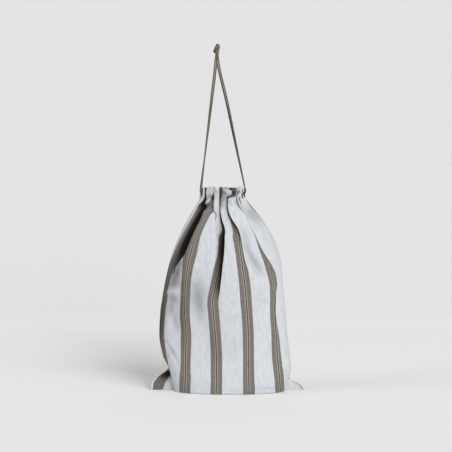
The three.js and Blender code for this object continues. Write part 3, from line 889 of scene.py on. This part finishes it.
@dataclass
class TwistedCord:
    """The bag's drawstring: how one strand's twisted plies lie round its line."""

    diameter: float = 0.0034
    plies: int = 3
    lay: float = 0.0125
    groove: float = 0.13
    groove_power: int = 4
    around: int = 18
    spacing: float = 0.0011
    start_side: tuple[float, ...] = (0.3, 0.9, 0.1)
    weld: float = 1e-7
    path_points: int = 32

    def tube(self, route: np.ndarray) -> tuple[np.ndarray, np.ndarray]:
        """Winds the plies round a line of samples.

        Args:
            route: Even samples of the strand's centreline, n by 3.

        Returns:
            The tube's points as rings, and its UV: the crest of the ply and the length in metres.
        """
        tangents = np.gradient(route, axis=0)
        tangents /= np.linalg.norm(tangents, axis=1, keepdims=True)
        side = np.cross(tangents[0], self.start_side)
        sides = []
        for tangent in tangents:
            side = side - tangent * np.dot(side, tangent)
            side = side / np.linalg.norm(side)
            sides.append(side)
        sides = np.array(sides)
        ups = np.cross(tangents, sides)
        along = lengths_along(route)
        angle = np.linspace(0, 2 * math.pi, self.around + 1)
        ply = angle[None, :] - 2 * math.pi * along[:, None] / self.lay
        hollow = np.abs(np.sin(ply * self.plies / 2)) ** self.groove_power
        radius = self.diameter / 2 * (1 - self.groove * hollow)
        ring = np.cos(angle)[None, :, None] * sides[:, None] + np.sin(angle)[None, :, None] * ups[:, None]
        points = route[:, None] + radius[..., None] * ring
        uv = np.stack([1 - hollow, np.broadcast_to(along[:, None], hollow.shape)], axis=2)
        return points, uv

    def mesh(self, name: str, routes: list[np.ndarray]) -> Mesh:
        """Makes one mesh of closed strands.

        Args:
            name: The mesh's name.
            routes: The strands' centrelines.

        Returns:
            The mesh, with its seams welded and its ends closed.
        """
        bm = bmesh.new()
        for route in routes:
            points, uv = self.tube(route)
            strand = grid_mesh(name, points, uv, TwistedCotton.uv_map)
            bm.from_mesh(strand)
            bpy.data.meshes.remove(strand)
        bmesh.ops.remove_doubles(bm, verts=bm.verts[:], dist=self.weld)
        rims = [edge for edge in bm.edges if edge.is_boundary]
        bmesh.ops.holes_fill(bm, edges=rims, sides=0)
        bmesh.ops.recalc_face_normals(bm, faces=bm.faces[:])
        mesh = bpy.data.meshes.new(name)
        bm.to_mesh(mesh)
        bm.free()
        mesh.shade_smooth()
        return mesh

    def strand(self, name: str, pair: list[PairPoint], side: Side, knot: Object,
               material: Material) -> Object:
        """Args:
            name: The piece's name, which is also that of the node it replaces.
            pair: The pair's route.
            side: Which strand of the pair.
            knot: The knot that the strand ends in. Not used.
            material: The cord's finish.

        Returns:
            The strand's object.
        """
        half = side.value / 2
        points = np.array([(row.x + half * row.apart_x, row.y + half * row.apart_y, row.z) for row in pair])
        route = smooth_route(points, self.spacing)
        piece = place_piece(f"strand_{name}", self.mesh(name, [route]), material)
        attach(piece, BODY)
        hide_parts(name)
        return piece


class KnotTurn(NamedTuple):
    """One turn of cord in the knot: its middle, half its width and depth, and its slope in degrees."""

    x: float
    y: float
    z: float
    reach_x: float
    reach_y: float
    tilt: float


KNOT_TURNS = [KnotTurn(*row) for row in (
    (0.0004, 0.0, 0.0026, 0.0036, 0.0040, -14.0),
    (-0.0002, 0.0, 0.0060, 0.0040, 0.0044, -24.0),
    (-0.0054, -0.0020, 0.0050, 0.0014, 0.0024, -70.0),
    (-0.0056, -0.0022, 0.0086, 0.0018, 0.0026, -60.0),
    (-0.0044, -0.0018, 0.0122, 0.0022, 0.0028, -50.0),
    (0.0010, 0.0, 0.0112, 0.0036, 0.0040, 30.0),
    (0.0014, -0.0004, 0.0146, 0.0040, 0.0044, 28.0),
    (0.0018, -0.0006, 0.0176, 0.0040, 0.0044, 26.0),
    (0.0018, -0.0002, 0.0200, 0.0026, 0.0032, 22.0),
    (-0.0050, 0.0026, 0.0058, 0.0014, 0.0014, -60.0),
    (-0.0018, 0.0014, 0.0096, 0.0018, 0.0018, -40.0),
)]


@dataclass
class DrawKnot:
    """The knot that gathers the strands' ends: turns of cord that cross each other."""

    cord: TwistedCord
    x: float = -0.0187
    y: float = 0.0
    foot: float = 0.7385
    samples: int = 60
    turn_start: float = 0.15
    turn_end: float = 2.25
    tucked_reach: float = 0.35
    tucked_share: float = 0.12
    climb: float = 0.0012

    def build(self, material: Material) -> Object:
        """Args:
            material: The cord's finish.

        Returns:
            The knot's object.
        """
        routes = [self._turn(turn) for turn in KNOT_TURNS]
        piece = place_piece("end_knot", self.cord.mesh("end_knot", routes), material)
        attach(piece, BODY)
        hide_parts("cord_knot")
        return piece

    def _turn(self, turn: KnotTurn) -> np.ndarray:
        """Winds one turn of cord, its ends tucked into the middle, and returns its route."""
        share = np.linspace(0, 1, self.samples)
        angle = mix(self.turn_start, self.turn_end, share) * math.pi
        free = smoothstep(0, self.tucked_share, np.minimum(share, 1 - share))
        reach = mix(self.tucked_reach, 1, free)
        flat_x = turn.reach_x * np.cos(angle) * reach
        flat_y = turn.reach_y * np.sin(angle) * reach
        slope = math.radians(turn.tilt)
        climb = self.climb * (share - 0.5)
        points = np.stack([
            self.x + turn.x + flat_x * math.cos(slope),
            self.y + turn.y + flat_y,
            self.foot + turn.z - flat_x * math.sin(slope) + climb,
        ], axis=1)
        return smooth_route(points, self.cord.spacing / 2)


@dataclass(frozen=True)
class DrawPuckers:
    """The puckers and crumples that the drawn cord leaves in the cloth above and below it."""

    line: float = 430.0
    reach: float = 15.0
    pucker: float = 1.5
    pitch: float = 12.5
    wander: tuple[float, float] = (2.1, 1.3)
    wander_across: tuple[float, float] = (31.0, 13.7)
    crumple: float = 1.4
    crumple_bend: float = 1.9
    crumple_across: tuple[float, float] = (3.1, 6.1)
    crumple_up: tuple[float, float] = (5.3, 3.7)

    def sunk(self, side: Side, across: np.ndarray, z: float) -> np.ndarray:
        """Adds up the puckers and the crumples.

        Args:
            side: Which panel.
            across: Places across the flat cloth.
            z: The height.

        Returns:
            How far each place sinks.
        """
        near = math.exp(-((z - self.line) / self.reach) ** 2)
        broad, narrow = (across / length for length in self.wander_across)
        wander = self.wander[0] * np.sin(broad + side.value) + self.wander[1] * np.sin(narrow)
        pucker = self.pucker * np.sin(2 * math.pi * across / self.pitch + wander)
        bend = self.crumple_bend * math.sin(z / self.crumple_up[0] + side.value)
        upright = np.sin(across / self.crumple_across[0] + bend)
        slanted = np.sin(z / self.crumple_up[1] + across / self.crumple_across[1])
        return near * (pucker + self.crumple * upright * slanted)


@dataclass(frozen=True)
class RimLine:
    """How far the rim hangs below its level: in small waves, and in one long dip at the front."""

    level: float = 0.6
    waves: tuple[float, float] = (0.7, 0.5)
    wave_across: tuple[float, float] = (9.3, 21.0)
    wave_start: tuple[float, float] = (0.0, 1.0)
    dip: float = 11.0
    dip_place: float = 206.0
    dip_reach: float = 32.0
    dip_power: int = 4

    def drop(self, side: Side, across: np.ndarray) -> np.ndarray:
        """Works out the rim's fall.

        Args:
            side: Which panel.
            across: Places across the flat cloth.

        Returns:
            How far the rim drops at each place.
        """
        drop = self.level
        for height, length, start in zip(self.waves, self.wave_across, self.wave_start):
            drop = drop + height * np.sin(across / length + start)
        if side is Side.FRONT:
            drop += self.dip * np.exp(-((across - self.dip_place) / self.dip_reach) ** self.dip_power)
        return drop


@dataclass
class BagShape:
    """The shape that the two panels take when the bag is full and drawn up, in millimetres."""

    # The panel, its side seams and its flat corners
    width: float = 350.0
    wall_foot: float = 15.0
    seam_gap: float = 0.5
    seam_closed: float = 75.0
    seam_reach: float = 6.0
    seam_groove: float = 1.1
    groove_reach: float = 3.0
    groove_fade: float = 20.0
    corner_spread: float = 1.4
    corner_edge: float = 0.95
    corner_top: float = 45.0
    # The hem and the slit at each end of it
    hem_foot: float = 419.0
    rim: float = 446.0
    rim_line: RimLine = RimLine()
    puckers: DrawPuckers = DrawPuckers()
    slit_foot: float = 418.0
    slit_top: float = 430.0
    slit_width: float = 11.0
    # How finely the outlines are worked out
    outline_steps: int = 96
    least_piece: float = 1e-6
    fine_step: float = 0.25
    # How a pleat lies
    tuck_bottom: float = 1.6
    bottom_share: float = 1 / 3
    left_lip: float = 2.4
    right_lip: float = 1.1
    least_lip: float = 0.2
    lip_share: float = 0.3
    tuck_slope: float = 24.0
    slope_power: float = 1.3
    wall_blend: float = 1.0
    least_hide: float = 1.0
    least_rate: float = 0.012
    least_slant: float = 0.1
    flat_sink: float = 0.35
    most_lean: float = 0.9
    least_across: float = 1e-3
    edge_reach: float = 6.0
    # Creases and unevenness, which calm down in a pleat and by the seams
    crease_taper: float = 0.7
    uneven: float = 0.45
    uneven_across: tuple[float, float] = (17.0, 53.0)
    uneven_up: tuple[float, float] = (41.0, 29.0)
    uneven_foot: float = 20.0
    uneven_full: float = 70.0
    pleat_calm: float = 0.85
    pleat_from: float = 1.0
    pleat_to: float = 8.0
    edge_calm: float = 8.0
    # The painted shade in pleats, creases and dents
    shade_from: float = 0.4
    shade_to: float = 8.0
    slope_shade: float = 1.2
    cast_reach: float = 20.0
    cast_power: float = 0.6
    crease_shade: float = 0.02
    frill_shade: float = 0.15
    frill_foot: float = 392.0
    frill_full: float = 410.0
    most_shade: float = 0.95

    def __post_init__(self) -> None:
        """Makes a smooth curve of each column of the sections."""
        heights = [row.z for row in SECTIONS]
        self.curves = {
            column: smooth_curve(heights, [getattr(row, column) for row in SECTIONS])
            for column in Section._fields
        }

    def at(self, column: str, z: float) -> float:
        """Returns one column of the sections at a height."""
        return float(self.curves[column](z))

    def outline(self, z: float, side: Side) -> np.ndarray:
        """Draws one panel's outline at a height, from the left seam to the right one.

        Args:
            z: The height.
            side: Which panel.

        Returns:
            Points by 3: x, y and the length along the outline.
        """
        sign = side.value
        left, right = self.at("left", z), self.at("right", z)
        body_left = max(left, self.at("body_left", z))
        body_right = min(right, self.at("body_right", z))
        middle, half = (body_left + body_right) / 2, (body_right - body_left) / 2
        closed = float(smoothstep(self.corner_top, self.seam_closed, z))
        spread = mix(self.corner_spread, self.seam_gap / 2, closed)
        turn = math.radians(self.at("turn", z))
        power = 2 / self.at("square", z)
        angle = np.linspace(-sign * turn, math.pi, self.outline_steps + 1)
        cosine, sine = np.cos(angle), np.sin(angle)
        x = middle - half * np.sign(cosine) * np.abs(cosine) ** power
        depth = np.where(sine * sign < 0, self.at("front", z), self.at("back", z))
        y = sign * (spread + np.sign(sine) * depth * np.abs(sine) ** power)
        ends = [] if turn > 0 else [(left, sign * spread)]
        line = np.array([*ends, *zip(x, y), (right, sign * spread)])
        steps = np.linalg.norm(np.diff(line, axis=0), axis=1)
        line = line[np.concatenate([[True], steps > self.least_piece])]
        along = lengths_along(line)
        from_edge = np.minimum(along, along[-1] - along)
        edge = mix(self.corner_edge, self.seam_gap / 2, closed)
        close = (1 - smoothstep(0, self.seam_reach, from_edge)) * (spread - edge)
        line[:, 1] -= sign * close
        return np.column_stack([line, along])

    def cloth_spread(self, outline: np.ndarray, z: float, side: Side, lines: np.ndarray,
                     seen: float) -> Curve:
        """Tells where the cloth that is seen lies along an outline.

        Args:
            outline: The panel's outline at that height.
            z: The height.
            side: Which panel.
            lines: How much cloth is seen up to each stripe.
            seen: How much is seen in all.

        Returns:
            A function from lengths of seen cloth to lengths along the outline.
        """
        whole = outline[-1, 2]
        opened = float(smoothstep(self.slit_foot, self.slit_top, z))
        trim = (self.seam_gap + self.slit_width * opened) / 2
        if side is Side.FRONT:
            held = [self.at(f"line{number + 1}", z) for number in range(len(STRIPE_LINES))]
        elif z < self.seam_closed:
            full = self.outline(self.seam_closed, side)
            x = self._along(full, mix(0, full[-1, 2], lines / seen))[0][:, 0]
            share = (x - full[0, 0]) / (full[-1, 0] - full[0, 0])
            held = mix(self.at("body_left", z), self.at("body_right", z), share)
        else:
            return lambda length: mix(trim, whole - trim, np.asarray(length) / seen)
        places = []
        for x in held:
            beyond = np.nonzero(outline[1:-1, 0] >= x)[0]
            i = int(beyond[0]) if len(beyond) else len(outline) - 2
            a, b = outline[i], outline[i + 1]
            places.append(mix(a[2], b[2], min(1, max(0, (x - a[0]) / (b[0] - a[0])))))
        return smooth_curve([0, *lines, seen], [trim, *places, whole - trim])

    def tucked(self, row: TuckRow, across: np.ndarray) -> tuple[np.ndarray, ...]:
        """Works out how deep the cloth lies in one pleat and beside it.

        Args:
            row: The pleat at its height.
            across: Places across the flat cloth.

        Returns:
            How deep the cloth lies in the pleat, how far its lips' slopes sink beside that, and how
            deep in the pleat's painted shade it is.
        """
        if row.hide <= 0:
            return (np.zeros_like(across),) * 3
        left, right = row.place - row.hide, row.place + row.hide
        over = smoothstep(left, right, across)
        bottom = min(self.tuck_bottom, self.bottom_share * row.hide)
        softness = min(1, self.least_lip + row.dark)
        lip = np.minimum(softness * mix(self.left_lip, self.right_lip, over), self.lip_share * row.hide)
        inside = row.hide - (np.hypot(across - row.place, bottom) - bottom)
        depth = (inside + np.hypot(inside, 2 * lip)) / 2
        by_seam = smoothstep(0, self.edge_reach, np.minimum(across, self.width - across))
        # cast is the painted shadow that a lip casts on the slope beside it
        slope, cast = (
            row.left * np.clip((across - left) / reach + 1, 0, 1) ** power * (1 - over)
            + row.right * np.clip((right - across) / reach + 1, 0, 1) ** power * over
            for reach, power in ((self.tuck_slope, self.slope_power), (self.cast_reach, self.cast_power))
        )
        # painted shade: deeper in the pleat and under the painted shadow on its slopes
        shaded = row.dark * (depth + self.slope_shade * cast)
        return depth * by_seam, slope * by_seam, shaded * by_seam

    def seen_length(self, rows: list[TuckRow], fine: np.ndarray) -> np.ndarray:
        """Adds up how much of the cloth is seen from the left seam on.

        Args:
            rows: The pleats at one height.
            fine: Fine places across the flat cloth.

        Returns:
            The seen length up to each place.
        """
        rate = np.ones_like(fine)
        slopes = np.zeros_like(fine)
        for row in rows:
            if row.hide > 0:
                over = smoothstep(row.place - self.wall_blend, row.place + self.wall_blend, fine)
                wall = mix(row.show, row.gap, over) / row.hide
                soft = min(self.right_lip, self.lip_share * row.hide)
                inside = smoothstep(row.hide + soft, row.hide - soft, np.abs(fine - row.place))
                rate *= mix(1, np.clip(wall, self.least_rate, 1), inside)
                slopes += self.tucked(row, fine)[1]
        steep = np.gradient(slopes, self.fine_step)
        rate *= np.sqrt(np.clip(1 - steep**2, self.least_slant, 1))
        return np.concatenate([[0], np.cumsum((rate[1:] + rate[:-1]) / 2 * self.fine_step)])

    def _back(self, mouth: np.ndarray, sign: int, flat: float) -> np.ndarray:
        """Works out the direction in which a pleat sinks: straight back, or nearly so by the seams.

        Args:
            mouth: The outline's direction at the pleat's mouth.
            sign: The panel's outward y.
            flat: How far the pleat is pressed flat to the right.

        Returns:
            The direction, of length 1.
        """
        inward = np.array((mouth[1], -mouth[0])) * sign
        lean = -inward[0] / max(abs(mouth[0]), self.least_across) * np.sign(mouth[0])
        straight = inward + np.clip(lean, -self.most_lean, self.most_lean) * mouth
        direction = mix(straight, mouth + self.flat_sink * inward, flat)
        return direction / np.linalg.norm(direction)

    @staticmethod
    def dented(side: Side, across: np.ndarray, z: float) -> tuple[np.ndarray, np.ndarray]:
        """Adds up the dents.

        Args:
            side: Which panel.
            across: Places across the flat cloth.
            z: The height.

        Returns:
            How far each place sinks, and its share of painted shade.
        """
        sunk = np.zeros_like(across)
        shaded = np.zeros_like(across)
        for dent in DENTS[side]:
            reach = np.exp(-((across - dent.across) / dent.wide) ** 2 - ((z - dent.z) / dent.tall) ** 2)
            sunk += dent.depth * reach
            shaded += dent.dark * reach
        return sunk, shaded

    def creased(self, side: Side, across: np.ndarray, z: float) -> np.ndarray:
        """Adds up the creases.

        Args:
            side: Which panel.
            across: Places across the flat cloth.
            z: The height.

        Returns:
            How far each place sinks.
        """
        sunk = np.zeros_like(across)
        for crease in CREASES[side]:
            run = np.array((crease.across1 - crease.across0, crease.z1 - crease.z0))
            length = np.linalg.norm(run)
            du, dv = across - crease.across0, z - crease.z0
            share = np.clip((du * run[0] + dv * run[1]) / length**2, 0, 1)
            off = np.hypot(du - share * run[0], dv - share * run[1])
            taper = np.sin(math.pi * share) ** self.crease_taper
            sunk += crease.depth * taper * np.exp(-(off / crease.width) ** 2)
        return sunk

    def relief(self, side: Side, across: np.ndarray, z: float) -> tuple[np.ndarray, np.ndarray]:
        """Adds up the dents, creases, puckers and unevenness of the cloth.

        Args:
            side: Which panel.
            across: Places across the flat cloth.
            z: The height.

        Returns:
            How far each place sinks, and its share of painted shade.
        """
        dents, shaded = self.dented(side, across, z)
        creases = self.creased(side, across, z) + self.puckers.sunk(side, across, z)
        in_frill = float(smoothstep(self.frill_foot, self.frill_full, z))
        # sunk creases and puckers are painted darker, as shade, most in the frill
        shaded = shaded + np.maximum(creases, 0) * mix(self.crease_shade, self.frill_shade, in_frill)
        steep = np.sin(across / self.uneven_across[0] + z / self.uneven_up[0] + side.value)
        level = np.sin(z / self.uneven_up[1] - across / self.uneven_across[1])
        off_floor = float(smoothstep(self.uneven_foot, self.uneven_full, z))
        sunk = dents + creases + self.uneven * steep * level * off_floor
        return sunk, np.minimum(shaded, self.most_shade)

    def drawn_in(self, from_edge: np.ndarray, z: float) -> np.ndarray:
        """Works out how far a side seam draws the cloth in.

        Args:
            from_edge: Distances from the panel's nearer edge.
            z: The height.

        Returns:
            How far each place sinks.
        """
        on_body = float(smoothstep(self.corner_top, self.seam_closed, z))
        below_slit = 1 - float(smoothstep(self.slit_foot - self.groove_fade, self.slit_foot, z))
        return self.seam_groove * on_body * below_slit * (1 - smoothstep(0, self.groove_reach, from_edge))

    def wall(self, side: Side, across: np.ndarray, z: float) -> np.ndarray:
        """Shapes one level row of a panel.

        Args:
            side: Which panel.
            across: Places across the flat cloth.
            z: The height.

        Returns:
            The row's points in millimetres, and the share of painted shade at each one.
        """
        sign = side.value
        fine = np.arange(0, self.width + self.fine_step / 2, self.fine_step)
        tucks = TUCKS[side]
        rows = [tuck.at(z) for tuck in tucks]
        seen = self.seen_length(rows, fine)
        outline = self.outline(z, side)
        lines = np.interp(STRIPE_LINES, fine, seen)
        spread = self.cloth_spread(outline, z, side, lines, seen[-1])
        point, tangent = self._along(outline, spread(np.interp(across, fine, seen)))
        rim_share = max(0.0, (z - self.hem_foot) / (self.rim - self.hem_foot))
        drop = self.rim_line.drop(side, across)
        hidden = np.zeros_like(across)
        shaded = np.zeros_like(across)
        moved = np.zeros((len(across), 2))
        for tuck, row in zip(tucks, rows):
            depth, slope, shade = self.tucked(row, across)
            _, mouth = self._along(outline, spread(np.interp([row.place], fine, seen)))
            moved += (depth + slope)[:, None] * self._back(mouth[0], sign, tuck.flat)
            hidden += depth
            shaded += shade
            drop += tuck.dip * depth / max(row.hide, self.least_hide)
        sunk, relief_shade = self.relief(side, across, z)
        from_edge = np.minimum(across, self.width - across)
        open_share = 1 - self.pleat_calm * smoothstep(self.pleat_from, self.pleat_to, hidden)
        free = smoothstep(0, self.edge_calm, from_edge) * open_share
        inward = (sunk * free + self.drawn_in(from_edge, z)) * sign
        return np.column_stack([
            point[:, 0] + moved[:, 0] + tangent[:, 1] * inward,
            point[:, 1] + moved[:, 1] - tangent[:, 0] * inward,
            z - drop * rim_share,
            # the painted shade of the pleats, dents and creases
            1 - (1 - smoothstep(self.shade_from, self.shade_to, shaded)) * (1 - relief_shade),
        ])

    @staticmethod
    def _along(outline: np.ndarray, along: np.ndarray) -> tuple[np.ndarray, np.ndarray]:
        """Returns the points and directions of an outline at lengths along it."""
        i = np.clip(np.searchsorted(outline[1:-1, 2], along), 0, len(outline) - 2)
        a, b = outline[i], outline[i + 1]
        span = (b[:, 2] - a[:, 2])[:, None]
        share = ((along - a[:, 2])[:, None]) / span
        return mix(a[:, :2], b[:, :2], share), (b[:, :2] - a[:, :2]) / span


@dataclass
class ClothPanel:
    """One panel of the bag: a thin sheet from the bottom seam to the rim."""

    side: Side
    node: str
    shape: BagShape
    columns: int = 300
    body_step: float = 4.0
    fine_from: float = 315.0
    neck_rows: int = 60
    base_rows: int = 18
    base_levels: int = 16
    thickness: float = 0.0009
    hem_thickness: float = 0.0014
    flat_length: float = 0.53
    corner_from: float = 3.0
    corner_to: float = 16.0

    def base(self, across: np.ndarray) -> list[np.ndarray]:
        """Shapes the rows of the base, from the bottom seam to the foot of the wall.

        Args:
            across: Places across the flat cloth.

        Returns:
            The rows' points.
        """
        shape = self.shape
        levels = np.linspace(0, shape.wall_foot, self.base_levels)
        low = np.array([shape.wall(self.side, across, z) for z in levels])
        low_shade, low = low[-1, :, 3], low[..., :3]
        under_body = smoothstep(self.corner_from, self.corner_to, np.abs(low[0, :, 1]))
        seam_x = mix(shape.at("left", 0), shape.at("right", 0), across / shape.width)
        numbers = np.arange(len(BASE_ROWS))
        reach, body_z, corner_z = (
            smooth_curve(numbers, [getattr(row, column) for row in BASE_ROWS]) for column in BaseRow._fields
        )
        rows = []
        for number in np.linspace(0, numbers[-1], self.base_rows, endpoint=False):
            z = mix(corner_z(number), body_z(number), under_body)
            row = np.stack([
                [np.interp(height, levels, low[:, c, axis]) for c, height in enumerate(z)]
                for axis in range(3)
            ], axis=1)
            to_seam = (1 - reach(number)) * under_body
            row[:, 0] = mix(row[:, 0], seam_x, to_seam)
            row[:, 1] = mix(row[:, 1], self.side.value * shape.seam_gap / 2, to_seam)
            row[:, 2] = np.maximum(row[:, 2], 0)
            rows.append(np.column_stack([row, low_shade]))
        return rows

    def surface(self) -> tuple[np.ndarray, np.ndarray, np.ndarray]:
        """Shapes the whole panel.

        Returns:
            Its points in metres, its UV, which is metres across and along the flat cloth, and how far
            in the painted shade of a pleat, dent or crease each point is, 0 to 1.
        """
        shape = self.shape
        across = np.linspace(0, shape.width, self.columns)
        levels = np.concatenate([
            np.arange(shape.wall_foot, self.fine_from, self.body_step),
            np.linspace(self.fine_from, shape.rim, self.neck_rows),
        ])
        points = np.array(self.base(across) + [shape.wall(self.side, across, z) for z in levels])
        points, shade = points[..., :3], points[..., 3]
        quarter = self.columns // 4
        middle = points[:, quarter:-quarter]
        steps = np.linalg.norm(np.diff(middle, axis=0), axis=2).mean(axis=1)
        along = np.concatenate([[0], np.cumsum(steps)])
        drawn = across if self.side is Side.FRONT else shape.width - across
        uv = np.stack(np.broadcast_arrays(drawn[None, :], along[:, None]), axis=2)
        return points * MM, uv * MM, shade

    def build(self, material: Material, inside: Material) -> Object:
        """Args:
            material: The cloth's finish.
            inside: The same finish with painted shade, for the inner faces of the bag.

        Returns:
            The panel's object.
        """
        points, uv, shade = self.surface()
        mesh = grid_mesh(self.node, points, uv, StripedCotton.uv_map)
        # the painted shade of the folds, read by the cloth's finish
        point_values(mesh, StripedCotton.shade_attribute, shade)
        if self.side is Side.BACK:
            mesh.flip_normals()
        piece = place_piece(f"cloth_{self.side.word}", mesh, material)
        hem = piece.vertex_groups.new(name="hem")
        heights = points.reshape(-1, 3)[:, 2]
        in_hem = heights > self.shape.hem_foot * MM
        hem.add(np.nonzero(in_hem)[0].tolist(), 1.0, "REPLACE")
        hem.add(np.nonzero(~in_hem)[0].tolist(), self.thickness / self.hem_thickness, "REPLACE")
        solid = piece.modifiers.new("cloth_thickness", "SOLIDIFY")
        solid.thickness = self.hem_thickness
        solid.vertex_group = hem.name
        solid.offset = -1
        # the inner faces take the copy with painted shade
        mesh.materials.append(inside)
        solid.material_offset = 1
        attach(piece, BODY)
        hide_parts(self.node)
        return piece


@dataclass(frozen=True)
class Lamp:
    """A broad soft lamp far off: its angle from the front, its height, its spread and its strength."""

    name: str
    azimuth: float
    height: float
    spread: float
    strength: float

    def toward(self) -> Vector:
        """Returns the direction towards the lamp."""
        azimuth, height = math.radians(self.azimuth), math.radians(self.height)
        return Vector((math.sin(azimuth) * math.cos(height), -math.cos(azimuth) * math.cos(height),
                       math.sin(height)))


LAMPS = (
    Lamp("key_light", 34.0, 27.0, 34.0, 0.55),
    Lamp("low_key_light", 19.0, 13.0, 24.0, 0.66),
    Lamp("left_fill", -72.0, 3.0, 40.0, 0.76),
    Lamp("right_fill", 75.0, 3.0, 40.0, 0.18),
)


@dataclass
class Studio:
    """A pale floor that sweeps up into a backdrop, broad lamps and even room light."""

    half_width: float = 5.0
    front: float = -5.0
    bend_start: float = 1.6
    bend_radius: float = 1.2
    top: float = 4.0
    level: float = 0.845
    floor_fade: float = 0.035
    fade_start: float = -0.4
    wall_gain: float = 0.02
    bend_gain: float = 0.06
    room_light: float = 0.5
    room_slant: float = 0.04
    lamp_distance: float = 3.0
    floor_rows: int = 12
    bend_rows: int = 41
    wall_rows: int = 8
    floor_columns: int = 9

    def build(self) -> None:
        """Makes the floor, the lamps and the room's light."""
        self._floor()
        for lamp in LAMPS:
            data = bpy.data.lights.new(lamp.name, "SUN")
            data.angle = math.radians(lamp.spread)
            data.energy = lamp.strength * math.pi
            piece = bpy.data.objects.new(lamp.name, data)
            piece.location = lamp.toward() * self.lamp_distance
            piece.rotation_euler = (-lamp.toward()).to_track_quat("-Z", "Y").to_euler()
            bpy.context.collection.objects.link(piece)
        world = bpy.data.worlds.new("room")
        world.use_nodes = True
        bench = NodeBench(world.node_tree)
        toward = bench.add("ShaderNodeTexCoord")
        rightward, _, _ = bench.split(toward.outputs["Generated"])
        strength = bench.math("MULTIPLY_ADD", rightward, self.room_slant, self.room_light)
        light = bench.add("ShaderNodeBackground", {"Strength": strength})
        bench.add("ShaderNodeOutputWorld", {"Surface": light.outputs["Background"]})
        bpy.context.scene.world = world
        bpy.context.scene.view_settings.view_transform = "Standard"

    def _floor(self) -> None:
        """Sweeps the floor up into the backdrop, toned so that it looks even under the lamps, apart from a
        little painted shade towards the back.
        """
        quarter = self.bend_radius * math.pi / 2
        flat = self.bend_start - self.front
        along = np.concatenate([
            np.linspace(0, flat, self.floor_rows),
            flat + np.linspace(0, quarter, self.bend_rows)[1:],
            flat + quarter + np.linspace(0, self.top - self.bend_radius, self.wall_rows)[1:],
        ])
        bend = np.clip((along - flat) / self.bend_radius, 0, math.pi / 2)
        y = self.front + np.minimum(along, flat) + self.bend_radius * np.sin(bend)
        z = self.bend_radius * (1 - np.cos(bend)) + np.maximum(0, along - flat - quarter)
        x = np.linspace(-self.half_width, self.half_width, self.floor_columns)
        points = np.stack(np.broadcast_arrays(x[None, :], y[:, None], z[:, None]), axis=2)
        to_backdrop = self.bend_start + self.bend_radius - y
        sees = 0.5 * (1 - np.cos(bend) * to_backdrop / np.hypot(to_backdrop, self.top))
        light = mix(self.room_light, self.level, sees)
        for lamp in LAMPS:
            toward = lamp.toward()
            light += lamp.strength * (np.cos(bend) * toward.z - np.sin(bend) * toward.y)
        # painted shade: the paper darkens a little towards the back, as the light falls off
        faded = 1 - self.floor_fade * smoothstep(self.fade_start, self.bend_start, y)
        gain = 1 + self.wall_gain * (1 - np.cos(bend)) + self.bend_gain * np.sin(2 * bend)
        tone = self.level * faded * gain / light
        mesh = grid_mesh("studio_floor", points, points[..., :2], "floor")
        point_values(mesh, "tone", np.repeat(tone, len(x)))
        material, bench = start_material("studio_paper")
        toned = bench.add("ShaderNodeAttribute", attribute_name="tone")
        paper = bench.add("ShaderNodeBsdfDiffuse", {"Color": toned.outputs["Fac"]})
        bench.add("ShaderNodeOutputMaterial", {"Surface": paper.outputs["BSDF"]})
        place_piece("studio_floor", mesh, material)


def main() -> None:
    """Builds the camera, the cords, the cloth and the studio, in that order."""
    logging.basicConfig(level=logging.INFO, format="%(name)s: %(message)s")
    PhotoCamera().build()
    cord = TwistedCord()
    cord_finish = TwistedCotton().build()
    knot = DrawKnot(cord).build(KNOTTED_COTTON.build())
    LOG.info("built %s", knot.name)
    shaded_finish = SHADED_COTTON.build()
    for leg, pair in (("left", LEFT_PAIR), ("right", RIGHT_PAIR)):
        for side in Side:
            name = f"cord_{leg}_{side.word}"
            # the right leg's back strand takes the finish with painted shade
            finish = shaded_finish if name == "cord_right_back" else cord_finish
            strand = cord.strand(name, pair, side, knot, finish)
            LOG.info("built %s", strand.name)
    cloth = StripedCotton().build()
    inside = SHADED_INSIDE_COTTON.build()
    shape = BagShape()
    for side in Side:
        panel = ClothPanel(side, f"panel_{side.word}", shape).build(cloth, inside)
        LOG.info("built %s with %d faces", panel.name, len(panel.data.polygons))
    Studio().build()


if __name__ == "__main__":
    main()
